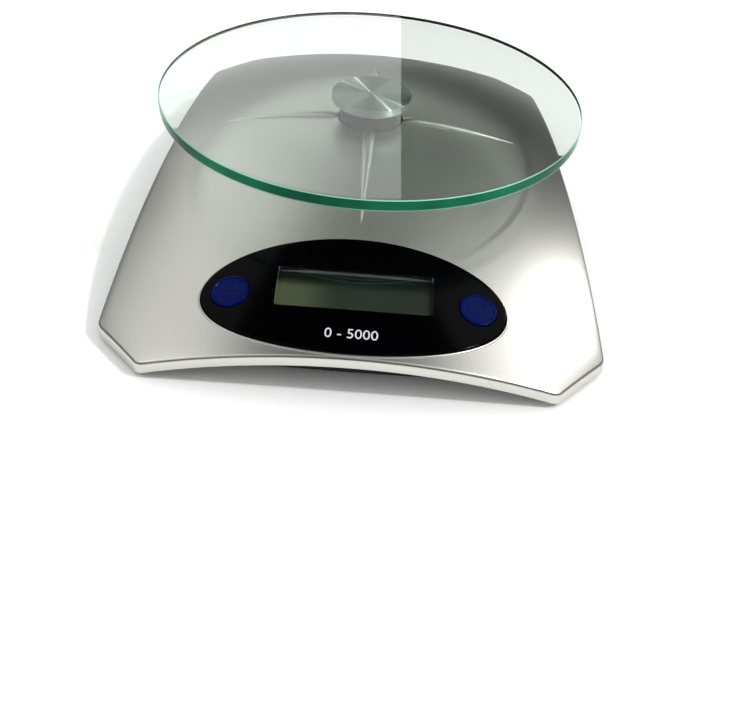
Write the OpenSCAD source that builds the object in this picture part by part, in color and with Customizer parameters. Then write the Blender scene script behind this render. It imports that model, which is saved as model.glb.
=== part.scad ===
// Digital kitchen scale: round glass plate on a post, over a bowed plastic body.
// X runs to the right, Y to the back, Z up. The origin is on the table, under the
// middle of the box that the body's front edge and the plate's back edge span.

/* [Body] */
// Width across the front shoulders
body_w = 161; // [150:1:170]
// Depth from the front edge to the back edge
body_d = 188.5; // [184:0.5:190]
// Width across the back shoulders
back_w = 134.4; // [126:0.2:144]
// Width of the front edge
front_edge_w = 128.4; // [120:0.2:136]
// Bow of the front edge
front_bow = 1.5; // [0.5:0.1:2.5]
// Width of the straight back edge
back_edge_w = 104; // [96:1:114]
// Depth of the cut front corners
front_cut_d = 19.3; // [16:0.1:24]
// Depth of the cut back corners
back_cut_d = 11; // [8:0.5:16]
// Radius that rounds the body's corners
corner_r = 5; // [3:0.5:8]
// Height of the crown above the table
crown_h = 33.8; // [33:0.1:38]
// Radius of the top, seen from the front
crown_rx = 230; // [215:1:300]
// Radius of the top, seen from the side
crown_ry = 350; // [330:1:500]
// Thickness of the shell
shell_t = 2.4; // [2:0.1:2.6]
// Height of the shell's rim
rim_h = 3.5; // [2.8:0.1:4]
// Wall of the rim
rim_wall = 2.6; // [2:0.1:3.5]

/* [Ridges] */
// Reach of the front ridge from the post's axis
ridge_front = 61; // [50:1:66]
// Reach of the back ridge
ridge_back = 53; // [45:1:62]
// Reach of the side ridges
ridge_side = 54.5; // [45:0.5:64]
// Height of a ridge beside the post
ridge_h = 1.6; // [1:0.1:2.4]

/* [Weighing plate] */
// Diameter of the glass plate
plate_d = 151; // [140:1:160]
// Thickness of the glass plate
plate_t = 4; // [3:0.5:6]
// Bevel of the polished edge
plate_bevel = 0.5; // [0.2:0.1:1]
// Distance from the body's front edge to the post's axis
post_from_front = 114.5; // [112:0.5:118]
// From the post's axis forward to the middle of the plate
plate_forward = 2; // [0:0.5:4]
// Diameter of the disc under the plate
hub_d = 29; // [26:0.5:34]
// Thickness of the disc
hub_t = 3.5; // [3:0.5:6]
// Diameter of the post
post_d = 22.6; // [20:0.1:24]
// Clearance round the post in the shell
post_clear = 0.7; // [0.5:0.1:1.2]
// Gap between the crown and the disc
hub_gap = 5.7; // [3:0.1:7]

/* [Display] */
// Width of the oval panel
panel_w = 95.8; // [92:0.2:104]
// Depth of the oval panel, seen from above
panel_d = 43.8; // [41:0.2:45]
// Distance from the body's front edge to the panel's centre
panel_from_front = 23.2; // [23:0.1:25]
// Rise of the panel above the shell
panel_rise = 0.8; // [0.4:0.1:1.2]
// Depth of the panel's pocket in the shell
pocket_t = 0.6; // [0.4:0.1:0.8]
// Width of the window
window_w = 48.8; // [44:0.2:52]
// Height of the window
window_h = 15.4; // [13:0.1:16]
// Distance of the window's centre behind the panel's centre
window_shift = 0.7; // [0:0.1:1.2]
// Width of the display glass
lcd_w = 52; // [50:0.5:54]
// Height of the display glass
lcd_h = 19; // [17.5:0.5:19.5]
// Thickness of the display glass
lcd_t = 2; // [1.6:0.1:2.4]
// Depth of the display glass under the crown line of the panel
lcd_drop = 2.3; // [2.2:0.1:2.8]
// Wall of the display holder
holder_wall = 1.4; // [1:0.1:1.8]

/* [Buttons] */
// Diameter of a button
button_d = 12.2; // [10:0.2:13]
// Distance of a button from the middle
button_x = 38.4; // [37.6:0.1:40]
// Distance of the buttons behind the panel's centre
button_shift = 0.1; // [0:0.1:2]
// Rise of a button above the panel
button_rise = 0.9; // [0.5:0.1:1.5]
// Clearance round a button
button_clear = 0.3; // [0.2:0.05:0.5]
// Travel of a button
button_travel = 0.4; // [0.2:0.05:0.5]

/* [Circuit board] */
// Width of the board
board_w = 96; // [94:1:100]
// Reach of the board in front of the panel's centre
board_front = 12.5; // [11.5:0.5:12.5]
// Reach of the board behind the panel's centre
board_back = 15; // [13:0.5:18]
// Thickness of the board
board_t = 1.6; // [1:0.2:1.6]
// Depth of the board's face under the top
board_drop = 11; // [10.8:0.1:11.4]
// Distance of the board screws from the middle
board_screw_x = 44; // [44:0.5:45]
// Width of a switch
switch_w = 6; // [5:0.5:7]
// Height of a switch
switch_h = 2.6; // [2.2:0.1:2.8]
// Diameter of a switch's plunger
plunger_d = 3.2; // [2.6:0.1:3.4]
// Height of the plunger above its switch
plunger_h = 0.9; // [0.8:0.05:1]

/* [Weighing cell] */
// Length of the cell
cell_l = 80; // [76:1:84]
// Width and height of the cell
cell_s = 12.7; // [12:0.1:13]
// Height of the boss under the cell
cell_boss_h = 4; // [3.5:0.1:4]
// Gap between the cell and the carrier
carrier_gap = 1.5; // [1.4:0.1:1.8]
// Thickness of the carrier
carrier_t = 3; // [2.8:0.1:3.2]
// Width of the carrier
carrier_w = 18; // [16:0.5:22]
// Travel of the plate at full load
plate_travel = 0.5; // [0.3:0.05:0.5]
// Clearance left above the overload stop at full load
stop_clear = 0.2; // [0.1:0.05:0.4]

/* [Base] */
// Distance of the base's wall inside the body's edge
base_inset = 9; // [8:0.5:10]
// Wall of the base
base_wall = 2.2; // [1.8:0.1:2.6]
// Floor of the base
base_floor = 2.2; // [2:0.1:2.4]
// Diameter of a foot
foot_d = 12; // [10:0.5:14]
// Thickness of a foot
foot_t = 3; // [2.8:0.1:3.4]
// Depth of a foot's pocket
foot_pocket = 1; // [0.8:0.1:1.2]
// Distance of the front feet inside the front shoulders
foot_front_in = 23.5; // [20.5:0.5:28.5]
// Distance of the front feet behind the base's front wall
foot_front_y = 17; // [14:1:18]
// Distance of the back feet inside the back shoulders
foot_back_in = 21.2; // [19.2:0.5:23.2]
// Distance of the back feet in front of the base's back wall
foot_back_y = 12; // [11:1:14]
// Distance of the front case screws inside the front shoulders
boss_front_in = 20.5; // [19.5:0.5:24.5]
// Distance of the front case screws behind the base's front wall
boss_front_y = 36; // [34:1:40]
// Distance of the back case screws inside the back shoulders
boss_back_in = 15.2; // [15.2:0.5:17.2]
// Distance of the back case screws in front of the base's back wall
boss_back_y = 29; // [27:1:32]
// Diameter of a case boss
boss_d = 7; // [6.6:0.2:8]

/* [Batteries] */
// Diameter of a battery
battery_d = 10.5; // [10:0.1:10.6]
// Length of a battery
battery_l = 44.5; // [43:0.5:46]
// Gap between the batteries
battery_gap = 1; // [0.6:0.1:1.6]
// Room for a contact at each end
contact_room = 3.25; // [2.8:0.05:4]
// Thickness of the battery door
door_t = 1.8; // [1.6:0.1:2]
// Distance of the batteries' middle in front of the base's back wall
bay_from_back = 26.5; // [26:0.5:30]

/* [Hidden] */
$fn = 64;
facets = 360;
corner_steps = 4;
bow_steps = 2;
least_turn = 10;
eps = 0.01;
tall = 80;
seat = 0.3;
slide_clear = 0.2;
fit_clear = 0.1;
bolt_clear = 0.05;
over = 1;
panel_step = 6;
ridge_sides = 32;

// Places of the body along Y
front_y = -max(body_d, post_from_front - plate_forward + plate_d / 2) / 2;
back_y = front_y + body_d;
post_y = front_y + post_from_front;
panel_y = front_y + panel_from_front;
button_y = panel_y + button_shift;
base_front_y = front_y + base_inset;
base_back_y = back_y - base_inset;

// Places of the feet and case screws along X
foot_front_x = body_w / 2 - foot_front_in;
foot_back_x = back_w / 2 - foot_back_in;
boss_front_x = body_w / 2 - boss_front_in;
boss_back_x = back_w / 2 - boss_back_in;

// Heights from the table up
base_z = foot_t - foot_pocket;
floor_z = base_z + base_floor;
cell_z = floor_z + cell_boss_h;
cell_top_z = cell_z + cell_s;
carrier_z = cell_top_z + carrier_gap;
carrier_top_z = carrier_z + carrier_t;
hub_z = crown_h + hub_gap;
plate_z = hub_z + hub_t;

// Height of the barrel-shaped top over a point of the plan
function ring_r(y) = crown_rx - crown_ry + sqrt(pow(crown_ry, 2) - pow(y - post_y, 2));
function top_z(x, y) = crown_h - crown_rx + sqrt(pow(ring_r(y), 2) - x * x);

// Plan of the body, its inset and its rounded form
front_edge = [
    for (i = [-bow_steps : bow_steps])
        [front_edge_w / 2 * i / bow_steps, front_y + front_bow * pow(i / bow_steps, 2)]
];
plan = concat(front_edge, [
    [body_w / 2, front_y + front_cut_d],
    [back_w / 2, back_y - back_cut_d],
    [back_edge_w / 2, back_y],
    [-back_edge_w / 2, back_y],
    [-back_w / 2, back_y - back_cut_d],
    [-body_w / 2, front_y + front_cut_d]
]);
function unit(v) = v / norm(v);
function left_of(v) = [-v[1], v[0]];
function before(points, i) = points[(i + len(points) - 1) % len(points)];
function after(points, i) = points[(i + 1) % len(points)];
function moved_in(p, q, r, d) =
    let (n1 = left_of(unit(q - p)), n2 = left_of(unit(r - q)))
    q + (n1 + n2) * d / (1 + n1 * n2);
function inset(points, d) = [
    for (i = [0 : len(points) - 1]) moved_in(before(points, i), points[i], after(points, i), d)
];
function corner_arc(p, q, r, radius) =
    let (
        u = unit(p - q),
        v = unit(r - q),
        half = acos(u * v) / 2,
        centre = q + unit(u + v) * radius / sin(half),
        from = q + u * radius / tan(half) - centre,
        start = atan2(from[1], from[0]),
        turn = 180 - 2 * half
    )
    turn < least_turn ? [q] : [
        for (k = [0 : corner_steps])
            let (a = start + turn * k / corner_steps)
            centre + radius * [cos(a), sin(a)]
    ];
function rounded(points, radius) = [
    for (i = [0 : len(points) - 1])
        each corner_arc(before(points, i), points[i], after(points, i), radius)
];
least_corner_r = 1.5;
module body_plan(d = 0) {
    polygon(rounded(inset(plan, d), max(corner_r - d, least_corner_r)));
}

// Everything under the top, drop deep
module barrel(drop = 0) {
    translate([0, post_y, crown_h - crown_rx])
        rotate([90, 0, 0])
            rotate_extrude($fn = facets)
                intersection() {
                    translate([crown_rx - crown_ry, 0]) circle(r = crown_ry - drop, $fn = facets);
                    translate([0, -body_d]) square([crown_rx + tall, 2 * body_d]);
                }
}

// The display stands square to the top at the panel's centre
disp_tilt = asin((post_y - panel_y) / crown_ry);
disp_origin = [0, panel_y, top_z(0, panel_y)];
function to_display(p) =
    let (d = p - disp_origin)
    [
        d[0],
        d[1] * cos(disp_tilt) + d[2] * sin(disp_tilt),
        d[2] * cos(disp_tilt) - d[1] * sin(disp_tilt)
    ];
function from_display(p) = disp_origin + [
    p[0],
    p[1] * cos(disp_tilt) - p[2] * sin(disp_tilt),
    p[1] * sin(disp_tilt) + p[2] * cos(disp_tilt)
];
module on_display() {
    translate(disp_origin) rotate([disp_tilt, 0, 0]) children();
}
module display_block(w, h, low, high) {
    on_display()
        translate([-w / 2, window_shift - h / 2, low])
            cube([w, h, high - low]);
}
module panel_plan(grow = 0) {
    translate([0, panel_y])
        polygon([
            for (a = [0 : panel_step : 360 - panel_step])
                [(panel_w / 2 + grow) * cos(a), (panel_d / 2 + grow) * sin(a)]
        ]);
}
module window_block(grow = 0) {
    display_block(window_w + 2 * grow, window_h + 2 * grow, -lcd_drop, shell_t + panel_rise);
}
holder_w = lcd_w + 2 * holder_wall + 2 * fit_clear;
holder_h = lcd_h + 2 * holder_wall;

// The buttons stand square to the top at their own places; side is -1 or 1
button_turn = asin(button_x / ring_r(button_y));
button_tilt = asin((post_y - button_y) / crown_ry);
button_axis = [
    cos(button_tilt) * sin(button_turn),
    -sin(button_tilt),
    cos(button_tilt) * cos(button_turn)
];
button_place = [button_x, button_y, top_z(button_x, button_y)];
module on_button_axis(side) {
    translate([side * button_place[0], button_place[1], button_place[2]])
        rotate([0, side * button_turn, 0])
            rotate([button_tilt, 0, 0])
                children();
}
button_flange_w = 1.2;
button_flange_d = button_d + 2 * button_flange_w;
button_flange_t = 0.9;
button_edge = 0.5;
button_seat = 0.2;
button_ring_w = 0.9;
// Where a button's axis comes down on the plunger and on the board
button_local = to_display(button_place);
axis_local = to_display(disp_origin + button_axis);
plunger_top = -board_drop + switch_h + plunger_h;
plunger_reach = (button_local[2] - plunger_top) / axis_local[2];
switch_place = button_local - axis_local * plunger_reach;

// Top shell
boss_split_z = 9;
boss_pilot_d = 3.1;
case_screw_d = 3;
case_screw_l = 9.2;
case_head_d = 5.6;
case_head_t = 2;
case_head_inset = 1;
case_head_z = base_z + case_head_inset;
case_screw_end_z = case_head_z + case_head_t + case_screw_l;
board_screw_d = 2;
board_screw_l = 4.4;
board_boss_d = 5;
board_screw_edge = 3;
board_screw_front = board_front - board_screw_edge;
board_screw_back = board_back - board_screw_edge;
lip_t = 1.4;
lip_h = 4;
ridge_steps = 7;
ridge_fade = 1.4;
ridge_start = post_d / 2 + post_clear + seat;
post_hole_d = post_d + 2 * post_clear;

boss_places = [
    [-boss_front_x, base_front_y + boss_front_y],
    [boss_front_x, base_front_y + boss_front_y],
    [-boss_back_x, base_back_y - boss_back_y],
    [boss_back_x, base_back_y - boss_back_y]
];
board_screw_places = [
    [-board_screw_x, -board_screw_front],
    [board_screw_x, -board_screw_front],
    [-board_screw_x, board_screw_back],
    [board_screw_x, board_screw_back]
];

// A ridge is a spindle along the chord between its ends, turned so that it stands
// ridge_h proud of the bowed top beside the post and fades out at its tip
function ridge_end(angle, s) =
    let (x = s * cos(angle), y = post_y + s * sin(angle))
    [x, y, top_z(x, y)];
function ridge_radius(angle, reach, t) =
    let (
        s = ridge_start + (reach - ridge_start) * t,
        chord = ridge_end(angle, ridge_start)[2] * (1 - t) + ridge_end(angle, reach)[2] * t
    )
    ridge_end(angle, s)[2] - chord + ridge_h * (1 - pow(t, ridge_fade));
module ridge(angle, reach) {
    from = ridge_end(angle, ridge_start);
    v = ridge_end(angle, reach) - from;
    length = norm(v);
    translate(from)
        rotate([0, acos(v[2] / length), angle])
            rotate_extrude($fn = ridge_sides)
                polygon(concat(
                    [[0, 0]],
                    [
                        for (i = [0 : ridge_steps - 1])
                            [ridge_radius(angle, reach, i / ridge_steps), length * i / ridge_steps]
                    ],
                    [[0, length]]
                ));
}
module skin() {
    difference() {
        intersection() {
            linear_extrude(tall) body_plan();
            barrel();
        }
        barrel(rim_h);
        intersection() {
            linear_extrude(tall) body_plan(rim_wall);
            barrel(shell_t);
        }
    }
}
module lip() {
    difference() {
        intersection() {
            translate([0, 0, floor_z + seat])
                linear_extrude(tall) body_plan(base_inset + base_wall + seat);
            barrel(shell_t - eps);
        }
        barrel(shell_t + lip_h);
        linear_extrude(tall) body_plan(base_inset + base_wall + seat + lip_t);
    }
}
module shell_bosses() {
    intersection() {
        for (p = boss_places)
            translate([p[0], p[1], boss_split_z]) cylinder(d = boss_d, h = tall);
        barrel(shell_t / 2);
    }
    intersection() {
        on_display()
            for (p = board_screw_places)
                translate([p[0], p[1], -board_drop]) cylinder(d = board_boss_d, h = board_drop);
        barrel(shell_t / 2);
    }
}
module top_shell() {
    color("silver")
        difference() {
            union() {
                skin();
                lip();
                shell_bosses();
                ridge(0, ridge_side);
                ridge(90, ridge_back);
                ridge(180, ridge_side);
                ridge(270, ridge_front);
            }
            translate([0, post_y, 0]) cylinder(d = post_hole_d, h = tall);
            difference() {
                linear_extrude(tall) panel_plan(fit_clear);
                barrel(pocket_t);
            }
            display_block(
                holder_w + 2 * fit_clear,
                holder_h + 2 * fit_clear,
                -board_drop - eps,
                shell_t
            );
            for (side = [-1, 1])
                on_button_axis(side)
                    translate([0, 0, -shell_t - over])
                        cylinder(d = button_d + 2 * button_clear, h = 2 * shell_t);
            for (p = boss_places)
                translate([p[0], p[1], boss_split_z - eps])
                    cylinder(d = boss_pilot_d, h = case_screw_end_z + seat - boss_split_z);
            on_display()
                for (p = board_screw_places)
                    translate([p[0], p[1], -board_drop - eps])
                        cylinder(d = board_screw_d + 2 * bolt_clear, h = board_screw_l - board_t + seat);
        }
}

// Display panel, window and display
module display_panel() {
    color("black")
        difference() {
            intersection() {
                linear_extrude(tall) panel_plan();
                barrel(-panel_rise);
            }
            barrel(pocket_t - fit_clear);
            window_block();
            for (side = [-1, 1])
                on_button_axis(side)
                    translate([0, 0, -shell_t])
                        cylinder(d = button_d + 2 * button_clear, h = 3 * shell_t);
        }
}
module window_lens() {
    color("lightgray", 0.4)
        difference() {
            intersection() {
                window_block(-fit_clear);
                barrel(-panel_rise);
            }
            barrel(pocket_t - fit_clear);
        }
}
module lcd_glass() {
    color("darkseagreen") display_block(lcd_w, lcd_h, -lcd_drop - lcd_t, -lcd_drop);
}
module lcd_holder() {
    ledge = 0.7;
    color("lightgray")
        difference() {
            intersection() {
                display_block(holder_w, holder_h, -board_drop, 0);
                barrel(pocket_t);
            }
            window_block();
            display_block(lcd_w + 2 * fit_clear, lcd_h + 2 * fit_clear, -lcd_drop - lcd_t, -lcd_drop + eps);
            display_block(lcd_w - 2 * ledge, lcd_h - 2 * ledge, -board_drop - over, -lcd_drop - lcd_t + eps);
        }
}
zebra_inset = 1;
zebra_w = window_w - 2 * zebra_inset;
zebra_t = 2;
module zebra_strip() {
    color("dimgray")
        on_display()
            translate([-zebra_w / 2, window_shift - lcd_h / 2 + zebra_inset, -board_drop])
                cube([zebra_w, zebra_t, board_drop - lcd_drop - lcd_t]);
}

// Circuit board and what it carries
chip_d = 10;
chip_t = 1.4;
chip_x = 14;
header_w = 12;
header_d = 5;
header_t = 4;
header_x = -17;
header_inset = 2;
lead_apart = 5;
board_low = -board_drop - board_t;
module circuit_board() {
    color("darkgreen")
        difference() {
            on_display()
                translate([-board_w / 2, -board_front, board_low])
                    cube([board_w, board_front + board_back, board_t]);
            on_display()
                for (p = board_screw_places)
                    translate([p[0], p[1], board_low - eps])
                        cylinder(d = board_screw_d + 2 * bolt_clear, h = board_t + 2 * eps);
        }
}
module board_screws() {
    head_d = 3.8;
    head_t = 1.2;
    color("gainsboro")
        on_display()
            for (p = board_screw_places)
                translate([p[0], p[1], board_low]) {
                    cylinder(d = board_screw_d, h = board_screw_l);
                    translate([0, 0, -head_t]) cylinder(d = head_d, h = head_t);
                }
}
module chip() {
    color("black")
        on_display()
            translate([chip_x, 0, board_low - chip_t])
                cylinder(d1 = chip_d - 2 * chip_t, d2 = chip_d, h = chip_t);
}
module header() {
    color("white")
        on_display()
            translate([header_x - header_w / 2, board_back - header_inset - header_d, board_low - header_t])
                cube([header_w, header_d, header_t]);
}
plunger_clear = 0.3;
module switch_housing(side) {
    color("dimgray")
        on_display()
            translate([side * switch_place[0], switch_place[1], -board_drop])
                difference() {
                    translate([-switch_w / 2, -switch_w / 2, 0]) cube([switch_w, switch_w, switch_h]);
                    translate([0, 0, switch_h / 2])
                        cylinder(d = plunger_d + 2 * plunger_clear, h = switch_h);
                }
}
module plunger(side) {
    color("ivory")
        on_display()
            translate([side * switch_place[0], switch_place[1], plunger_top])
                mirror([0, 0, 1])
                    cylinder(d = plunger_d, h = plunger_h + switch_h / 2 - button_travel - seat);
}
module button(side) {
    stem_d = 2.4;
    top = panel_rise + button_rise;
    flange_top = -shell_t - button_seat;
    flange_low = flange_top - button_flange_t;
    stem_low = -plunger_reach + stem_d / 2 * tan(button_turn) + bolt_clear;
    color("royalblue")
        on_button_axis(side)
            rotate_extrude()
                polygon([
                    [0, stem_low],
                    [stem_d / 2, stem_low],
                    [stem_d / 2, flange_low],
                    [button_flange_d / 2, flange_low],
                    [button_flange_d / 2, flange_top],
                    [button_d / 2, flange_top],
                    [button_d / 2, top - button_edge],
                    [button_d / 2 - button_edge, top],
                    [button_d / 2 - button_ring_w, top],
                    [button_d / 2 - button_ring_w - button_edge / 2, top - button_edge / 2],
                    [0, top - button_edge / 2]
                ]);
}

// Plate, disc, post and carrier, on the post's axis
module on_post_axis() {
    translate([0, post_y, 0]) children();
}
hub_bevel = 1.2;
hub_screw_d = 3;
hub_screw_r = 7.5;
hub_head_d = 5.5;
hub_head_t = 1.6;
hub_screw_reach = 2.5;
carrier_pad_x = 18;
carrier_past = 1;
carrier_end_x = cell_l / 2 + carrier_past;
carrier_nose_r = 13;
cell_hole_out = 5;
cell_hole_in = 20;
cell_screw_d = 4;
carrier_head_d = 7;
carrier_head_t = 2;
hub_head_inset = 0.2;
carrier_screw_reach = 8;
hub_head_z = carrier_z + hub_head_inset + hub_head_t;
module at_hub_screws() {
    for (a = [90, 210, 330])
        rotate([0, 0, a]) translate([hub_screw_r, 0, 0]) children();
}
module at_cell_holes(side) {
    for (x = [cell_hole_out, cell_hole_in])
        translate([side * (cell_l / 2 - x), 0, 0]) children();
}
module weighing_plate() {
    color("paleturquoise", 0.5)
        on_post_axis()
            translate([0, -plate_forward, plate_z])
                rotate_extrude($fn = facets / 2)
                    polygon([
                        [0, 0],
                        [plate_d / 2 - plate_bevel, 0],
                        [plate_d / 2, plate_bevel],
                        [plate_d / 2, plate_t - plate_bevel],
                        [plate_d / 2 - plate_bevel, plate_t],
                        [0, plate_t]
                    ]);
}
module hub_disc() {
    color("gainsboro")
        on_post_axis()
            difference() {
                rotate_extrude()
                    polygon([
                        [0, hub_z],
                        [hub_d / 2 - hub_bevel, hub_z],
                        [hub_d / 2, hub_z + hub_bevel],
                        [hub_d / 2, plate_z],
                        [0, plate_z]
                    ]);
                at_hub_screws()
                    translate([0, 0, hub_z - eps])
                        cylinder(d = hub_screw_d + 2 * bolt_clear, h = hub_screw_reach + seat);
            }
}
module hub_post() {
    color("silver")
        on_post_axis()
            difference() {
                translate([0, 0, carrier_top_z]) cylinder(d = post_d, h = hub_z - carrier_top_z);
                at_hub_screws()
                    translate([0, 0, carrier_top_z - eps])
                        cylinder(d = hub_screw_d + 2 * bolt_clear, h = tall);
            }
}
module hub_screws() {
    color("gainsboro")
        on_post_axis()
            at_hub_screws() {
                translate([0, 0, hub_head_z - hub_head_t]) cylinder(d = hub_head_d, h = hub_head_t);
                translate([0, 0, hub_head_z])
                    cylinder(d = hub_screw_d, h = hub_z + hub_screw_reach - hub_head_z);
            }
}
module carrier() {
    color("gray")
        on_post_axis()
            difference() {
                union() {
                    translate([0, 0, carrier_z]) cylinder(r = carrier_nose_r, h = carrier_t);
                    translate([0, -carrier_w / 2, carrier_z])
                        cube([carrier_end_x, carrier_w, carrier_t]);
                    translate([carrier_pad_x, -cell_s / 2, cell_top_z])
                        cube([cell_l / 2 - carrier_pad_x, cell_s, carrier_gap + eps]);
                }
                at_hub_screws() {
                    translate([0, 0, carrier_z - over])
                        cylinder(d = hub_head_d + 2 * fit_clear, h = hub_head_z - carrier_z + over);
                    translate([0, 0, carrier_z]) cylinder(d = hub_screw_d + 2 * bolt_clear, h = tall);
                }
                at_cell_holes(1)
                    translate([0, 0, cell_top_z - over])
                        cylinder(d = cell_screw_d + 2 * bolt_clear, h = tall);
            }
}
module carrier_screws() {
    color("gainsboro")
        on_post_axis()
            at_cell_holes(1) {
                translate([0, 0, carrier_top_z]) cylinder(d = carrier_head_d, h = carrier_head_t);
                translate([0, 0, cell_top_z - carrier_screw_reach])
                    cylinder(d = cell_screw_d, h = carrier_top_z - cell_top_z + carrier_screw_reach);
            }
}

// Weighing cell on its boss
flexure_d = 9;
flexure_x = 6;
flexure_slot = 3;
cell_head_d = 7;
cell_head_t = 2.4;
cell_head_inset = 0.5;
cell_head_z = base_z + cell_head_inset;
cell_bore_z = cell_head_z + cell_head_t;
cell_screw_reach = 8;
gauge_w = 16;
gauge_d = 11;
gauge_t = 0.9;
module weighing_cell() {
    middle = cell_z + cell_s / 2;
    color("lightgray")
        on_post_axis()
            difference() {
                translate([-cell_l / 2, -cell_s / 2, cell_z]) cube([cell_l, cell_s, cell_s]);
                for (side = [-1, 1]) {
                    translate([side * flexure_x, cell_s, middle])
                        rotate([90, 0, 0]) cylinder(d = flexure_d, h = 2 * cell_s);
                    at_cell_holes(side)
                        translate([0, 0, cell_z - over])
                            cylinder(d = cell_screw_d + 2 * bolt_clear, h = tall);
                }
                translate([-flexure_x, -cell_s, middle - flexure_slot / 2])
                    cube([2 * flexure_x, 2 * cell_s, flexure_slot]);
            }
}
module gauge_cover() {
    color("white")
        on_post_axis()
            for (z = [cell_z - gauge_t, cell_top_z])
                translate([-gauge_w / 2, -gauge_d / 2, z]) cube([gauge_w, gauge_d, gauge_t]);
}
module cell_screws() {
    color("gainsboro")
        on_post_axis()
            at_cell_holes(-1) {
                translate([0, 0, cell_head_z]) cylinder(d = cell_head_d, h = cell_head_t);
                translate([0, 0, cell_head_z + cell_head_t])
                    cylinder(d = cell_screw_d, h = cell_z + cell_screw_reach - cell_head_z - cell_head_t);
            }
}
stop_x = (cell_l / 2 - cell_hole_out + cell_l / 2 - cell_hole_in) / 2;
stop_d = 4;
stop_inset = 0.4;
stop_low_z = base_z + stop_inset;
module stop_screw() {
    socket_d = 2;
    socket_h = 2;
    color("gray")
        on_post_axis()
            translate([stop_x, 0, stop_low_z])
                difference() {
                    cylinder(d = stop_d, h = cell_z - plate_travel - stop_clear - stop_low_z);
                    translate([0, 0, -eps]) cylinder(d = socket_d, h = socket_h);
                }
}

// Base, feet and case screws
foot_places = [
    [-foot_front_x, base_front_y + foot_front_y],
    [foot_front_x, base_front_y + foot_front_y],
    [-foot_back_x, base_back_y - foot_back_y],
    [foot_back_x, base_back_y - foot_back_y]
];
bay_y = base_back_y - bay_from_back;
battery_y = (battery_d + battery_gap) / 2;
bay_half_w = battery_l / 2 + contact_room;
bay_room = 0.5;
bay_half_d = battery_y + battery_d / 2 + bay_room;
bay_wall = 1.5;
door_lip_t = 0.8;
door_rail = 2;
door_ledge = 1.5;
door_half_w = bay_half_w + door_ledge;
door_lap = 1;
door_front_y = bay_y - bay_half_d - door_lap;
door_play = 0.15;
door_roof_z = base_z + door_t + door_play;
battery_z = door_roof_z + bolt_clear + battery_d / 2;
bay_roof_z = battery_z + battery_d / 2 + bay_room;
pad_grow = 3;
tag_drop = 1.5;
tag_z = battery_z - tag_drop;
tag_w = 2;
tag_t = 0.8;
tag_reach = 2;
module bay_block(grow, low, high) {
    translate([-bay_half_w - grow, bay_y - bay_half_d - grow, low])
        cube([2 * (bay_half_w + grow), 2 * (bay_half_d + grow), high - low]);
}
module door_path(half_w, low, high) {
    translate([-half_w, door_front_y - slide_clear, low])
        cube([2 * half_w, base_back_y - door_front_y + 2 * base_wall, high - low]);
}
module tag_slots() {
    for (side = [-1, 1])
        translate([
            -bay_half_w - bay_wall - eps,
            bay_y + side * battery_y - tag_w / 2 - fit_clear,
            tag_z - fit_clear
        ])
            cube([bay_wall + 2 * eps, tag_w + 2 * fit_clear, tag_t + 2 * fit_clear]);
}
module base() {
    cell_boss_edge = 4;
    cell_boss_w = cell_hole_in - cell_hole_out + 2 * cell_boss_edge;
    stop_boss_d = 9;
    stop_boss_h = 2.4;
    pad_roof_t = 1.6;
    pad_top_z = door_roof_z + pad_roof_t;
    counterbore_d = case_head_d + 2 * seat;
    color("black")
        difference() {
            union() {
                translate([0, 0, base_z]) linear_extrude(base_floor) body_plan(base_inset);
                intersection() {
                    translate([0, 0, base_z])
                        linear_extrude(tall)
                            difference() {
                                body_plan(base_inset);
                                body_plan(base_inset + base_wall);
                            }
                    barrel(shell_t + seat);
                }
                bay_block(bay_wall, base_z, bay_roof_z + bay_wall);
                intersection() {
                    translate([-door_half_w - pad_grow, door_front_y - pad_grow, base_z])
                        cube([2 * (door_half_w + pad_grow), body_d, pad_top_z - base_z]);
                    linear_extrude(tall) body_plan(base_inset);
                }
                for (p = boss_places)
                    translate([p[0], p[1], base_z])
                        cylinder(d = boss_d, h = boss_split_z - seat - base_z);
                on_post_axis() {
                    translate([-cell_l / 2 + cell_hole_out - cell_boss_edge, -cell_s / 2, base_z])
                        cube([cell_boss_w, cell_s, cell_z - base_z]);
                    translate([stop_x, 0, base_z]) cylinder(d = stop_boss_d, h = base_floor + stop_boss_h);
                }
            }
            bay_block(0, door_roof_z - eps, bay_roof_z);
            door_path(door_half_w + slide_clear, base_z + door_lip_t, door_roof_z);
            door_path(door_half_w - door_rail + slide_clear, base_z - over, door_roof_z);
            tag_slots();
            for (p = boss_places)
                translate([p[0], p[1], base_z - over]) {
                    cylinder(d = counterbore_d, h = case_head_z + case_head_t - base_z + over);
                    cylinder(d = case_screw_d + 2 * fit_clear, h = tall);
                }
            for (p = foot_places)
                translate([p[0], p[1], base_z - over])
                    cylinder(d = foot_d + 2 * fit_clear, h = foot_pocket + over);
            on_post_axis() {
                at_cell_holes(-1) {
                    translate([0, 0, base_z - over]) {
                        cylinder(d = cell_head_d + 2 * slide_clear, h = cell_bore_z - base_z + over);
                        cylinder(d = cell_screw_d + 2 * bolt_clear, h = cell_z);
                    }
                }
                translate([stop_x, 0, base_z - over]) cylinder(d = stop_d + 2 * bolt_clear, h = tall);
            }
        }
}
module foot(i) {
    bevel = 0.6;
    color("dimgray")
        translate([foot_places[i][0], foot_places[i][1], 0])
            rotate_extrude()
                polygon([
                    [0, 0],
                    [foot_d / 2 - bevel, 0],
                    [foot_d / 2, bevel],
                    [foot_d / 2, foot_t],
                    [0, foot_t]
                ]);
}
module case_screws() {
    color("gainsboro")
        for (p = boss_places)
            translate([p[0], p[1], case_head_z]) {
                cylinder(d = case_head_d, h = case_head_t);
                translate([0, 0, case_head_t]) cylinder(d = case_screw_d, h = case_screw_l);
            }
}

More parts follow.
